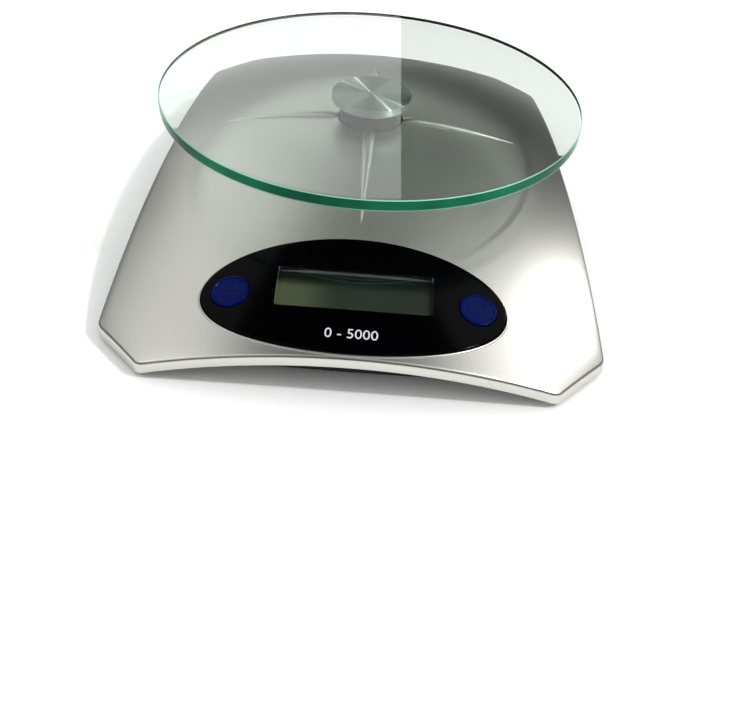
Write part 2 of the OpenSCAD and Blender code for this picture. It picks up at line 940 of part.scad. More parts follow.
// Battery door, batteries and contacts
module battery_door() {
    grip_w = 16;
    grip_t = 0.5;
    grip_step = 2.4;
    grips = 4;
    grip_edge = 8;
    length = base_back_y - door_front_y;
    color("black")
        difference() {
            translate([0, door_front_y, base_z]) {
                translate([-door_half_w, 0, door_lip_t + fit_clear])
                    cube([2 * door_half_w, length, door_t - door_lip_t - fit_clear]);
                translate([-door_half_w + door_rail, 0, 0])
                    cube([2 * (door_half_w - door_rail), length, door_t]);
            }
            for (i = [0 : grips - 1])
                translate([-grip_w / 2, base_back_y - grip_edge - i * grip_step, base_z - eps])
                    cube([grip_w, grip_step / 2, grip_t]);
        }
}
// side is -1 for the front cell and 1 for the back one, which lies the other way
module battery(side) {
    nub_d = 3.8;
    nub_l = 1;
    color("slategray")
        translate([0, bay_y + side * battery_y, battery_z])
            rotate([0, -side * 90, 0]) {
                translate([0, 0, -battery_l / 2]) cylinder(d = battery_d, h = battery_l - nub_l);
                translate([0, 0, battery_l / 2 - nub_l]) cylinder(d = nub_d, h = nub_l);
            }
}
contact_t = 0.4;
contact_half_h = 4;
contact_half_w = 4;
leaf_w = 4;
leaf_half_h = 3.4;
// A bent leaf that stands on its plate and meets the end of a cell
module leaf(side) {
    reach = contact_room - contact_t - fit_clear;
    tip = 0.5;
    translate([0, side * battery_y - leaf_w / 2, 0])
        rotate([-90, 0, 0])
            linear_extrude(leaf_w)
                polygon([
                    [-eps, -leaf_half_h],
                    [reach, -tip],
                    [reach, tip],
                    [-eps, leaf_half_h],
                    [-eps, leaf_half_h - contact_t],
                    [reach - contact_t, 0],
                    [-eps, -leaf_half_h + contact_t]
                ]);
}
module contact_bridge() {
    half_d = battery_y + contact_half_w;
    color("gainsboro")
        translate([bay_half_w, bay_y, battery_z])
            mirror([1, 0, 0]) {
                translate([0, -half_d, -contact_half_h]) cube([contact_t, 2 * half_d, 2 * contact_half_h]);
                translate([contact_t, 0, 0]) {
                    leaf(-1);
                    leaf(1);
                }
            }
}
module contact(side) {
    color("gainsboro")
        translate([-bay_half_w, bay_y, battery_z]) {
            translate([0, side * battery_y - contact_half_w, -contact_half_h])
                cube([contact_t, 2 * contact_half_w, 2 * contact_half_h]);
            translate([contact_t, 0, 0]) leaf(side);
            translate([-bay_wall - tag_reach, side * battery_y - tag_w / 2, tag_z - battery_z])
                cube([bay_wall + tag_reach + eps, tag_w, tag_t]);
        }
}

// Leads inside the case: tubes along their routes, with a ring at each bend
lead_d = 1.4;
wire_d = 0.9;
wire_apart = 2;
lead_sides = 8;
lead_bend = 6;
lead_lane = 2;
lead_z = floor_z + lead_d / 2 + fit_clear;
function lead_way(points, i) =
    let (last = len(points) - 1)
    unit(
        (i > 0 ? unit(points[i] - points[i - 1]) : [0, 0, 0])
        + (i < last ? unit(points[i + 1] - points[i]) : [0, 0, 0])
    );
function lead_ring(centre, way, d) =
    let (u = unit(cross([0, 0, 1], way)), v = cross(way, u))
    [for (k = [0 : lead_sides - 1])
        let (a = 360 * k / lead_sides)
        centre + d / 2 * (u * cos(a) + v * sin(a))];
module lead(points, d) {
    last = len(points) - 1;
    walls = [
        for (i = [0 : last - 1])
            for (k = [0 : lead_sides - 1])
                let (a = i * lead_sides + k, b = i * lead_sides + (k + 1) % lead_sides)
                each [[a, a + lead_sides, b], [b, a + lead_sides, b + lead_sides]]
    ];
    ends = [
        [for (k = [0 : lead_sides - 1]) k],
        [for (k = [lead_sides - 1 : -1 : 0]) last * lead_sides + k]
    ];
    polyhedron(
        points = [for (i = [0 : last]) each lead_ring(points[i], lead_way(points, i), d)],
        faces = concat(walls, ends)
    );
}
function header_exit(x, out) =
    from_display([x, board_back - header_inset + out, board_low - header_t / 2]);
module cell_lead() {
    x = header_x + lead_apart / 2;
    run_z = cell_z - lead_d / 2 - fit_clear;
    meet_y = post_y - gauge_d / 2;
    color("white")
        lead([
            header_exit(x, 0),
            header_exit(x, lead_bend),
            [x, header_exit(x, 0)[1] + 3 * lead_bend, lead_z],
            [0, post_y - 6 * lead_bend, lead_z],
            [0, meet_y - 2 * lead_bend, lead_z],
            [0, meet_y - lead_bend / 2, run_z],
            [0, meet_y, run_z]
        ], lead_d);
}
// side is -1 for the front contact's lead and 1 for the back contact's
module battery_lead(side) {
    lane = (1 + side) / 2 * wire_apart;
    x = header_x - lead_apart / 2 - lane;
    side_x = -cell_l / 2 - lead_lane - lane;
    tag = [-bay_half_w - bay_wall - tag_reach, bay_y + side * battery_y, tag_z + tag_t / 2];
    lead([
        header_exit(x, 0),
        header_exit(x, lead_bend),
        [x, header_exit(x, 0)[1] + 3 * lead_bend, lead_z],
        [side_x, post_y - 6 * lead_bend, lead_z],
        [side_x, tag[1] - 2 * lead_bend, lead_z],
        [side_x, tag[1] - lead_bend / 2, tag[2]],
        [side_x + lead_bend / 2, tag[1], tag[2]],
        tag
    ], wire_d);
}

top_shell();
display_panel();
window_lens();
lcd_glass();
lcd_holder();
zebra_strip();
circuit_board();
board_screws();
chip();
header();
switch_housing(-1);  // unit_switch
switch_housing(1);  // on_switch
plunger(-1);  // unit_plunger
plunger(1);  // on_plunger
button(-1);  // unit_button
button(1);  // on_button
weighing_plate();
hub_disc();
hub_post();
hub_screws();
carrier();
carrier_screws();
weighing_cell();
gauge_cover();
cell_screws();
stop_screw();
base();
foot(0);  // foot_front_left
foot(1);  // foot_front_right
foot(2);  // foot_back_left
foot(3);  // foot_back_right
case_screws();
battery_door();
battery(-1);  // battery_front
battery(1);  // battery_back
contact_bridge();
contact(-1);  // contact_front
contact(1);  // contact_back
cell_lead();
color("firebrick") battery_lead(-1);  // front_lead
color("black") battery_lead(1);  // back_lead
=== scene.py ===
import math

import bmesh
import bpy
import numpy as np
from mathutils import Matrix, Vector


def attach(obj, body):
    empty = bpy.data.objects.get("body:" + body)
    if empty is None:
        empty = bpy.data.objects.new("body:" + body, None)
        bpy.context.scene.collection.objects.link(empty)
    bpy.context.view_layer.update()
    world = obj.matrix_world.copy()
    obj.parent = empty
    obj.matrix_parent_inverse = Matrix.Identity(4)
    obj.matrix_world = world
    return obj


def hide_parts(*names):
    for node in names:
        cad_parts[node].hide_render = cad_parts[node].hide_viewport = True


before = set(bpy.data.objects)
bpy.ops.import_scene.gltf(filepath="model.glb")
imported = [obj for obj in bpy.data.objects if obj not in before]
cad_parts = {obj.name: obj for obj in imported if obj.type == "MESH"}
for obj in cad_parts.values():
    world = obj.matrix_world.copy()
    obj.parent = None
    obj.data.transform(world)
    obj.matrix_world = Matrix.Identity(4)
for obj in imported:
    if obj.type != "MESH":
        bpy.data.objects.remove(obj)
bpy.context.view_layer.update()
mm = 0.001
# points closer than this, in metres, are one point
weld = 1e-6
print("frame loaded")

# Camera: the place and turn that lay the object over the photographed one
view = {
    "place": (4.51, -333.82, 210.65),
    "turn": (50.776, -3.687, 2.275),
    "lens": 50.3,
    "sensor": 36.0,
}
cameraData = bpy.data.cameras.new("camera")
cameraData.lens = view["lens"]
cameraData.sensor_width = view["sensor"]
cameraData.sensor_fit = "HORIZONTAL"
cameraData.clip_start = 0.01
camera = bpy.data.objects.new("camera", cameraData)
camera.location = [c * mm for c in view["place"]]
camera.rotation_euler = [math.radians(a) for a in view["turn"]]
bpy.context.scene.collection.objects.link(camera)
bpy.context.scene.camera = camera
bpy.context.scene.view_settings.view_transform = "Standard"


# Materials
def linear(code):
    channels = [int(code[i:i + 2], 16) / 255 for i in (1, 3, 5)]
    return tuple(c / 12.92 if c <= 0.04045 else ((c + 0.055) / 1.055) ** 2.4 for c in channels) + (1.0,)


def addNode(tree, kind, settings=None, links=None):
    node = tree.nodes.new(kind)
    for name, value in (settings or {}).items():
        setattr(node, name, value)
    for name, value in (links or {}).items():
        if isinstance(value, bpy.types.NodeSocket):
            tree.links.new(value, node.inputs[name])
        else:
            node.inputs[name].default_value = value
    return node


def newMaterial(name, shaderValues):
    material = bpy.data.materials.new(name)
    material.use_nodes = True
    tree = material.node_tree
    tree.nodes.clear()
    shader = addNode(tree, "ShaderNodeBsdfPrincipled", links=shaderValues)
    output = addNode(tree, "ShaderNodeOutputMaterial", links={"Surface": shader.outputs["BSDF"]})
    return material, tree, shader, output


def grain(tree, size):
    # size in millimetres of the pattern's coarsest lumps
    place = addNode(tree, "ShaderNodeTexCoord")
    return addNode(tree, "ShaderNodeTexNoise", links={
        "Vector": place.outputs["Object"], "Scale": 1 / (size * mm), "Detail": 2.0,
    })


# a pattern seldom leaves this range, so tones and values are spread over it
patternRange = (0.3, 0.7)


def spread(tree, value, low, high):
    return addNode(tree, "ShaderNodeMapRange", links={
        "Value": value, "From Min": patternRange[0], "From Max": patternRange[1],
        "To Min": low, "To Max": high,
    }).outputs["Result"]


def tones(tree, value, dark, light):
    ramp = addNode(tree, "ShaderNodeValToRGB", links={"Fac": value})
    for i, colour in enumerate((dark, light)):
        ramp.color_ramp.elements[i].position = patternRange[i]
        ramp.color_ramp.elements[i].color = linear(colour)
    return ramp.outputs["Color"]


def relief(tree, height, distance):
    # distance in millimetres between the pattern's lowest and highest points
    return addNode(tree, "ShaderNodeBump", links={
        "Height": height, "Distance": distance * mm, "Strength": 1.0,
    }).outputs["Normal"]


def grainedMaterial(name, dark, light, roughness, size, depth, **values):
    settings = {"Metallic": 0.0}
    settings.update({key.replace("_", " "): value for key, value in values.items()})
    material, tree, shader, output = newMaterial(name, settings)
    pattern = grain(tree, size)
    tree.links.new(tones(tree, pattern.outputs["Fac"], dark, light), shader.inputs["Base Color"])
    tree.links.new(spread(tree, pattern.outputs["Fac"], *roughness), shader.inputs["Roughness"])
    tree.links.new(relief(tree, pattern.outputs["Fac"], depth), shader.inputs["Normal"])
    return material


# silver lacquer with fine flakes on moulded ABS: a soft metallic sheen with broad highlights
silverLacquer = grainedMaterial(
    "silverLacquer", "#cfcfc8", "#d9d9d2", (0.31, 0.35), 0.35, 0.002, Metallic=0.99)
# polished black acrylic: deep black with sharp but faint reflections
blackAcrylic = grainedMaterial(
    "blackAcrylic", "#010102", "#020203", (0.10, 0.13), 2.0, 0.0005, Specular_IOR_Level=0.05)
# black ABS moulded against a spark-eroded tool: dark, dull and finely pitted
blackAbs = grainedMaterial("blackAbs", "#0b0b0c", "#141415", (0.5, 0.62), 0.5, 0.02)
# blue ABS moulded in a polished tool: saturated, with a soft gloss
blueAbs = grainedMaterial("blueAbs", "#000c40", "#010e49", (0.2, 0.26), 1.2, 0.003, Specular_IOR_Level=0.05)
# grey ABS for unseen holders: plain and half matt
greyAbs = grainedMaterial("greyAbs", "#7d7f80", "#8c8e8f", (0.5, 0.6), 0.8, 0.01)
# white nylon of small connectors: waxy and pale
whiteNylon = grainedMaterial("whiteNylon", "#dcdad2", "#e8e6de", (0.4, 0.5), 0.8, 0.005)
# epoxy moulding compound: dead black with fine grit
epoxyResin = grainedMaterial("epoxyResin", "#101011", "#1b1b1c", (0.6, 0.75), 0.3, 0.01)
# conductive silicone: dark grey, dull
zebraRubber = grainedMaterial("zebraRubber", "#2b2b2c", "#4a4a4b", (0.6, 0.7), 0.3, 0.01)
# moulded rubber: charcoal, matt
mouldedRubber = grainedMaterial("mouldedRubber", "#1c1c1c", "#2b2b2a", (0.72, 0.85), 0.6, 0.03)
# white silicone over the strain gauges: soft, half matt
gaugeSilicone = grainedMaterial("gaugeSilicone", "#d8d8d2", "#ecece6", (0.45, 0.6), 1.5, 0.05)
# solder-masked glass epoxy: dark green with a faint weave
maskedFibreglass = grainedMaterial("maskedFibreglass", "#0d3a22", "#14502f", (0.3, 0.4), 1.0, 0.01)
# extruded aluminium: pale metal with dull streaks
extrudedAluminium = grainedMaterial(
    "extrudedAluminium", "#a4a6a8", "#b6b8ba", (0.32, 0.45), 0.6, 0.01, Metallic=1.0)
# zinc-plated steel: bright with a faint bluish grain
platedSteel = grainedMaterial("platedSteel", "#8f9499", "#b2b7bb", (0.2, 0.35), 0.5, 0.004, Metallic=1.0)
# PVC insulation of the leads
whitePvc = grainedMaterial("whitePvc", "#dcdcda", "#e9e9e6", (0.4, 0.5), 0.8, 0.005)
redPvc = grainedMaterial("redPvc", "#a31410", "#bd1c16", (0.4, 0.5), 0.8, 0.005)
blackPvc = grainedMaterial("blackPvc", "#0d0d0e", "#19191a", (0.4, 0.5), 0.8, 0.005)
# printed shrink sleeve of a battery: glossy film
shrinkSleeve = grainedMaterial("shrinkSleeve", "#2f4a78", "#3a588c", (0.22, 0.3), 2.0, 0.01)

# turned aluminium: fine lathe rings fan each lamp's highlight out into bright rays from the axis
turned = {
    "postY": 20.25,
    "ringPitch": 0.5,
    "ringDepth": 0.0006,
    "ringWaver": 0.3,
    "stretch": 0.96,
    "quarterTurn": 0.25,
    "rayRoughness": 0.26,
    "rayStretch": -0.86,
}


def turnedMetal(name, roughness, dark, light, rayShare):
    material, tree, shader, output = newMaterial(name, {
        "Metallic": 1.0, "Roughness": roughness, "Anisotropic": turned["stretch"],
        "Anisotropic Rotation": turned["quarterTurn"],
    })
    place = addNode(tree, "ShaderNodeTexCoord")
    centred = addNode(tree, "ShaderNodeMapping", links={
        "Vector": place.outputs["Object"], "Location": (0.0, -turned["postY"] * mm, 0.0)})
    rings = addNode(tree, "ShaderNodeTexWave", {
        "wave_type": "RINGS", "rings_direction": "Z", "wave_profile": "SIN"}, {
        "Vector": centred.outputs["Vector"], "Scale": math.pi / (10 * turned["ringPitch"] * mm),
        "Distortion": turned["ringWaver"]})
    tangent = addNode(tree, "ShaderNodeTangent", {"direction_type": "RADIAL", "axis": "Z"})
    tone = tones(tree, rings.outputs["Color"], dark, light)
    bump = relief(tree, rings.outputs["Color"], turned["ringDepth"])
    tree.links.new(tone, shader.inputs["Base Color"])
    tree.links.new(tangent.outputs["Tangent"], shader.inputs["Tangent"])
    tree.links.new(bump, shader.inputs["Normal"])
    # the finest grooves: a second, much narrower fan
    rays = addNode(tree, "ShaderNodeBsdfAnisotropic", links={
        "Color": tone, "Roughness": turned["rayRoughness"], "Anisotropy": turned["rayStretch"],
        "Rotation": turned["quarterTurn"], "Tangent": tangent.outputs["Tangent"], "Normal": bump})
    mixed = addNode(tree, "ShaderNodeMixShader", links={
        0: rayShare, 1: shader.outputs["BSDF"], 2: rays.outputs["BSDF"]})
    tree.links.new(mixed.outputs["Shader"], output.inputs["Surface"])
    return material


turnedAluminium = turnedMetal("turnedAluminium", 0.36, "#98a39b", "#a6b1a9", 0.5)
# the same metal with a finer cut, with narrow upright highlights; its darker tone is painted shade, as the
# post stands under the disc and the plate
shadedFineTurnedAluminium = turnedMetal("shadedFineTurnedAluminium", 0.18, "#1f2320", "#2b2f2c", 0.35)


def letLampsThrough(tree, shader, output, shade):
    # a shadow ray passes and only takes on the shade, so that glass casts no black shadow
    ray = addNode(tree, "ShaderNodeLightPath")
    through = addNode(tree, "ShaderNodeBsdfTransparent", links={"Color": shade})
    mixed = addNode(tree, "ShaderNodeMixShader", links={
        0: ray.outputs["Is Shadow Ray"], 1: shader.outputs["BSDF"], 2: through.outputs["BSDF"]})
    tree.links.new(mixed.outputs["Shader"], output.inputs["Surface"])


clearShade = (0.92, 0.95, 0.93, 1.0)


def clearMaterial(name, tint, roughness, ior, density):
    material, tree, shader, output = newMaterial(name, {
        "Base Color": (1.0, 1.0, 1.0, 1.0), "Roughness": roughness, "IOR": ior, "Transmission Weight": 1.0,
    })
    letLampsThrough(tree, shader, output, clearShade)
    if density:
        volume = addNode(tree, "ShaderNodeVolumeAbsorption", links={
            "Color": linear(tint), "Density": density})
        tree.links.new(volume.outputs["Volume"], output.inputs["Volume"])
    return material


# clear float glass: a faint green that deepens along the plate, up to emerald at its edge
floatGlass = clearMaterial("floatGlass", "#8fc9a8", 0.0, 1.52, 30.0)


glassEdge = {
    "patches": 25.0,
    "depth": 0.001,
    "gloss": 0.08,
    # painted shade on the edge's inner side, seen through the glass
    "inside": "#26332d",
}


def edgeMaterial(name, dark, light, roughness, shade):
    # the edge of a plate, where light comes out after a long way through the glass; its inner side, seen
    # through the glass, gets a painted shade
    material = grainedMaterial(
        name, dark, light, roughness, glassEdge["patches"], glassEdge["depth"],
        Specular_IOR_Level=glassEdge["gloss"])
    tree = material.node_tree
    output = next(node for node in tree.nodes if node.type == "OUTPUT_MATERIAL")
    shader = next(node for node in tree.nodes if node.type == "BSDF_PRINCIPLED")
    seen = addNode(tree, "ShaderNodeNewGeometry")
    tone = shader.inputs["Base Color"].links[0].from_socket
    inside = addNode(tree, "ShaderNodeMix", {"data_type": "RGBA"}, {
        "Factor": seen.outputs["Backfacing"], 6: tone, 7: linear(glassEdge["inside"])})
    tree.links.new(inside.outputs[2], shader.inputs["Base Color"])
    letLampsThrough(tree, shader, output, linear(shade))
    return material


# polished edge of the float glass: deep emerald with a sharp gloss
emeraldEdge = edgeMaterial("emeraldEdge", "#023c2a", "#0b7050", (0.06, 0.1), "#6f9a88")
# ground arris along the edge: fine frosting, pale in itself, whose pale mint line is also a painted highlight
# along the edge
arrisFrostAndHighlight = edgeMaterial("arrisFrostAndHighlight", "#6fae95", "#9fd0bb", (0.3, 0.4), "#9fbfb2")
# clear acrylic of the display window
clearAcrylic = clearMaterial("clearAcrylic", "#ffffff", 0.02, 1.49, 0.0)
# glass and polarizer of a blank display: dark olive, lightened on the left by a painted reflection and
# darkened along the top by painted shade under the window's edge
film = {
    # light is the painted reflection on the left side, topShade the painted shade along the top
    "light": "#3d4430",
    "dark": "#242a23",
    "topShade": "#0a0d0b",
    "fromX": -19.0,
    "toX": -4.0,
    "fromY": -68.5,
    "toY": -64.5,
}
polarizerFilm, filmNodes, filmShader = newMaterial("polarizerFilm", {
    "Roughness": 0.22, "Specular IOR Level": 0.12})[:3]
filmPlace = addNode(filmNodes, "ShaderNodeTexCoord")
filmAxes = addNode(filmNodes, "ShaderNodeSeparateXYZ", links={"Vector": filmPlace.outputs["Object"]})
filmReflectionFade = addNode(filmNodes, "ShaderNodeMapRange", {"interpolation_type": "SMOOTHSTEP"}, {
    "Value": filmAxes.outputs["X"], "From Min": film["fromX"] * mm, "From Max": film["toX"] * mm})
filmTopShadeFade = addNode(filmNodes, "ShaderNodeMapRange", {"interpolation_type": "SMOOTHSTEP"}, {
    "Value": filmAxes.outputs["Y"], "From Min": film["fromY"] * mm, "From Max": film["toY"] * mm})
# painted reflection: the film is lighter towards the left
filmPaintedReflection = addNode(filmNodes, "ShaderNodeMix", {"data_type": "RGBA"}, {
    "Factor": filmReflectionFade.outputs["Result"], 6: linear(film["light"]), 7: linear(film["dark"])})
# painted shade along the top, where the window's edge shades the display
filmPaintedTone = addNode(filmNodes, "ShaderNodeMix", {"data_type": "RGBA"}, {
    "Factor": filmTopShadeFade.outputs["Result"], 6: filmPaintedReflection.outputs[2], 7: linear(film["topShade"])})
filmNodes.links.new(filmPaintedTone.outputs[2], filmShader.inputs["Base Color"])
# pad print on the panel and the buttons: flat ink, pale on black and dark on blue
greyInk = grainedMaterial("greyInk", "#b9bbbd", "#cdcfd0", (0.4, 0.5), 0.4, 0.002)
navyInk = grainedMaterial("navyInk", "#030b30", "#040f3c", (0.4, 0.5), 0.4, 0.002, Specular_IOR_Level=0.1)
print("materials made")


# Meshes
def newPiece(name, points, faces, material):
    mesh = bpy.data.meshes.new(name)
    mesh.from_pydata([tuple(p) for p in np.asarray(points, float) * mm], [], faces)
    mesh.update()
    piece = bpy.data.objects.new(name, mesh)
    bpy.context.scene.collection.objects.link(piece)
    piece.data.materials.append(material)
    return piece


def baked(piece):
    seen = piece.evaluated_get(bpy.context.evaluated_depsgraph_get())
    mesh = bpy.data.meshes.new_from_object(seen)
    piece.modifiers.clear()
    old = piece.data
    piece.data = mesh
    bpy.data.meshes.remove(old)
    return piece


def smoothed(piece, angle=32):
    # welds and turns all faces outwards; edges sharper than the angle in degrees stay crisp
    shape = bmesh.new()
    shape.from_mesh(piece.data)
    bmesh.ops.remove_doubles(shape, verts=shape.verts, dist=weld)
    bmesh.ops.recalc_face_normals(shape, faces=shape.faces)
    shape.to_mesh(piece.data)
    shape.free()
    for face in piece.data.polygons:
        face.use_smooth = True
    piece.data.set_sharp_from_angle(angle=math.radians(angle))
    return piece


def loftFaces(rows, columns, closedRows=False):
    # faces between successive closed loops of the same length
    faces = []
    last = rows if closedRows else rows - 1
    for i in range(last):
        a, b = i * columns, ((i + 1) % rows) * columns
        for k in range(columns):
            n = (k + 1) % columns
            faces.append((a + k, a + n, b + n, b + k))
    return faces


def prism(loop, low, high, place):
    points = [place @ Vector((x, y, z)) for z in (low, high) for x, y in loop]
    count = len(loop)
    faces = [(k, (k + 1) % count, count + (k + 1) % count, count + k) for k in range(count)]
    faces += [tuple(reversed(range(count))), tuple(range(count, 2 * count))]
    return points, faces


def cutWith(piece, cutter, kind="DIFFERENCE"):
    smoothed(cutter)
    cut = piece.modifiers.new(kind.lower(), "BOOLEAN")
    cut.operation = kind
    cut.solver = "EXACT"
    cut.object = cutter
    baked(piece)
    bpy.data.objects.remove(cutter)
    return piece


# Body: its plan, its crown and the ridges are those of the CAD part, in millimetres. A corner that turns
# by less than leastCorner, in degrees, stays sharp
body = {
    "width": 161.0,
    "depth": 188.5,
    "backWidth": 134.4,
    "frontEdge": 128.4,
    "frontBow": 1.5,
    "backEdge": 104.0,
    "frontCut": 19.3,
    "backCut": 11.0,
    "bowSteps": 8,
    "cornerRadius": 5.0,
    "leastRadius": 1.5,
    "leastCorner": 10.0,
    "cornerSteps": 12,
    "crown": 33.8,
    "acrossRadius": 230.0,
    "alongRadius": 350.0,
    "wall": 2.4,
    "rim": 3.5,
    "rimWall": 2.6,
    "topFillet": 0.9,
    "lowFillet": 0.3,
    "frontY": -94.25,
    "postY": turned["postY"],
    "holeRadius": 12.0,
    "ridgeRing": 66.0,
    "ridgeReach": (54.5, 53.0, 54.5, 61.0),
    "ridgeHeight": 1.6,
    "ridgeFall": 1.4,
    "ridgeRound": 0.6,
    "ridgeFoot": 0.3,
    "ridgeFootReach": 5,
    "ridgeHalfWidth": 2.1,
    "ridgeTip": 0.12,
    "ridgeTaper": 1.7,
    "innerRings": (12.0, 12.4, 13.0),
    "ringsFrom": 14.0,
    "ringStep": 2.0,
    "outerRings": 15,
    "filletRings": 7,
    "lowFilletRings": 4,
    "underRings": 7,
    "sharpAngle": 25,
}


def ringRadius(y, drop=0.0):
    return (body["acrossRadius"] - body["alongRadius"]
            + np.sqrt((body["alongRadius"] - drop) ** 2 - (y - body["postY"]) ** 2))


def crownZ(x, y, drop=0.0):
    return body["crown"] - body["acrossRadius"] + np.sqrt(ringRadius(y, drop) ** 2 - x * x)


def bodyOutline(inset):
    front, back = body["frontY"], body["frontY"] + body["depth"]
    halfFront, steps = body["frontEdge"] / 2, body["bowSteps"]
    corners = [
        (halfFront * i / steps, front + body["frontBow"] * (i / steps) ** 2)
        for i in range(-steps, steps + 1)]
    corners += [
        (body["width"] / 2, front + body["frontCut"]),
        (body["backWidth"] / 2, back - body["backCut"]),
        (body["backEdge"] / 2, back),
        (-body["backEdge"] / 2, back),
        (-body["backWidth"] / 2, back - body["backCut"]),
        (-body["width"] / 2, front + body["frontCut"]),
    ]
    corners = [Vector(c) for c in corners]
    count = len(corners)
    moved = []
    for i, corner in enumerate(corners):
        u = (corner - corners[i - 1]).normalized()
        v = (corners[(i + 1) % count] - corner).normalized()
        n1, n2 = Vector((-u.y, u.x)), Vector((-v.y, v.x))
        moved.append(corner + (n1 + n2) * inset / (1 + n1.dot(n2)))
    radius = max(body["cornerRadius"] - inset, body["leastRadius"])
    points = []
    for i, corner in enumerate(moved):
        u = (moved[i - 1] - corner).normalized()
        v = (moved[(i + 1) % count] - corner).normalized()
        half = u.angle(v) / 2
        if math.pi - 2 * half < math.radians(body["leastCorner"]):
            points.append(corner)
            continue
        centre = corner + (u + v).normalized() * radius / math.sin(half)
        start = corner + u * radius / math.tan(half) - centre
        for k in range(body["cornerSteps"] + 1):
            turn = Matrix.Rotation((math.pi - 2 * half) * k / body["cornerSteps"], 2)
            points.append(centre + turn @ start)
    return np.array([tuple(p) for p in points])


def reachAlong(angles, inset):
    # distance from the post's axis to the outline along each angle
    line = bodyOutline(inset) - [0, body["postY"]]
    ends = np.roll(line, -1, axis=0)
    found = np.full(len(angles), np.inf)
    for i, angle in enumerate(angles):
        way = np.array([math.cos(angle), math.sin(angle)])
        edge = ends - line
        cross = way[0] * edge[:, 1] - way[1] * edge[:, 0]
        along = (line[:, 0] * edge[:, 1] - line[:, 1] * edge[:, 0]) / cross
        share = (line[:, 0] * way[1] - line[:, 1] * way[0]) / cross
        hits = along[(share >= -1e-9) & (share <= 1 + 1e-9) & (along > 0)]
        found[i] = hits.min()
    return found


# Columns run outwards from the post, in degrees; those of a ridge narrow with it, and more stand at the
# body's corners. A ridge's steps are shares of its half width
columns = {
    "ridgeSteps": (-1.25, -1.1, -1.0, -0.93, -0.8, -0.6, -0.35, 0.0, 0.35, 0.6, 0.8, 0.93, 1.0, 1.1, 1.25),
    "ridgeSpread": 1.2,
    "ridgeClear": 1.5,
    "step": 1.25,
    "cornerStep": 0.25,
    "cornerSteps": 9,
    "corners": (42.9, 54.7, 125.3, 137.1, 229.9, 240.5, 299.5, 310.1),
}
lastStep = columns["ridgeSteps"][-1]
outerSpread = math.radians(columns["ridgeSpread"])
fine = set()
for corner in columns["corners"]:
    reach = columns["cornerSteps"]
    fine.update(round(corner + k * columns["cornerStep"], 3) for k in range(-reach, reach + 1))
fine.update(round(k * columns["step"], 3) for k in range(round(360 / columns["step"])))
columnAngles = []
columnRidge = []
for quarter in range(4):
    for step in columns["ridgeSteps"]:
        columnAngles.append(quarter * math.pi / 2 + step / lastStep * outerSpread)
        columnRidge.append((quarter, step))
    start, end = quarter * 90 + columns["ridgeClear"], (quarter + 1) * 90 - columns["ridgeClear"]
    for a in sorted(a for a in fine if start < a < end):
        columnAngles.append(math.radians(a))
        columnRidge.append((quarter, None))
columnAngles = np.array(columnAngles)


def ridgeHalfWidth(quarter, r):
    start, tip, least = body["holeRadius"], body["ridgeReach"][quarter], body["ridgeTip"]
    if r >= tip:
        beyond = (r - tip) / (body["ridgeRing"] - tip)
        return least + beyond * (body["ridgeRing"] * math.sin(outerSpread) / lastStep - least)
    t = (r - start) / (tip - start)
    return least + (body["ridgeHalfWidth"] - least) * (1 - t ** body["ridgeTaper"])


def ridgeRise(quarter, step, r):
    start, tip = body["holeRadius"], body["ridgeReach"][quarter]
    if r >= tip or abs(step) >= 1:
        return 0.0
    t = (r - start) / (tip - start)
    # low at the post, so that the ridge meets it without a step
    fade = min(1.0, body["ridgeFoot"] + (r - start) / body["ridgeFootReach"])
    return (body["ridgeHeight"] * fade * (1 - t ** body["ridgeFall"])
            * (1 - step * step) ** body["ridgeRound"])


def ringRow(r):
    points = []
    for angle, (quarter, step) in zip(columnAngles, columnRidge):
        if step is not None:
            side = step * ridgeHalfWidth(quarter, r)
            bearing = quarter * math.pi / 2 + math.asin(side / r)
            rise = ridgeRise(quarter, step, r)
        else:
            following = (quarter + 1) % 4
            low = math.asin(lastStep * ridgeHalfWidth(quarter, r) / r)
            high = math.asin(lastStep * ridgeHalfWidth(following, r) / r)
            start = quarter * math.pi / 2
            share = (angle - start - outerSpread) / (math.pi / 2 - 2 * outerSpread)
            bearing = start + low + share * (math.pi / 2 - low - high)
            rise = 0.0
        x, y = r * math.cos(bearing), body["postY"] + r * math.sin(bearing)
        points.append((x, y, crownZ(x, y) + rise))
    return np.array(points)


def outlineRow(reach, height):
    x = reach * np.cos(columnAngles)
    y = body["postY"] + reach * np.sin(columnAngles)
    return np.column_stack([x, y, height(x, y)])


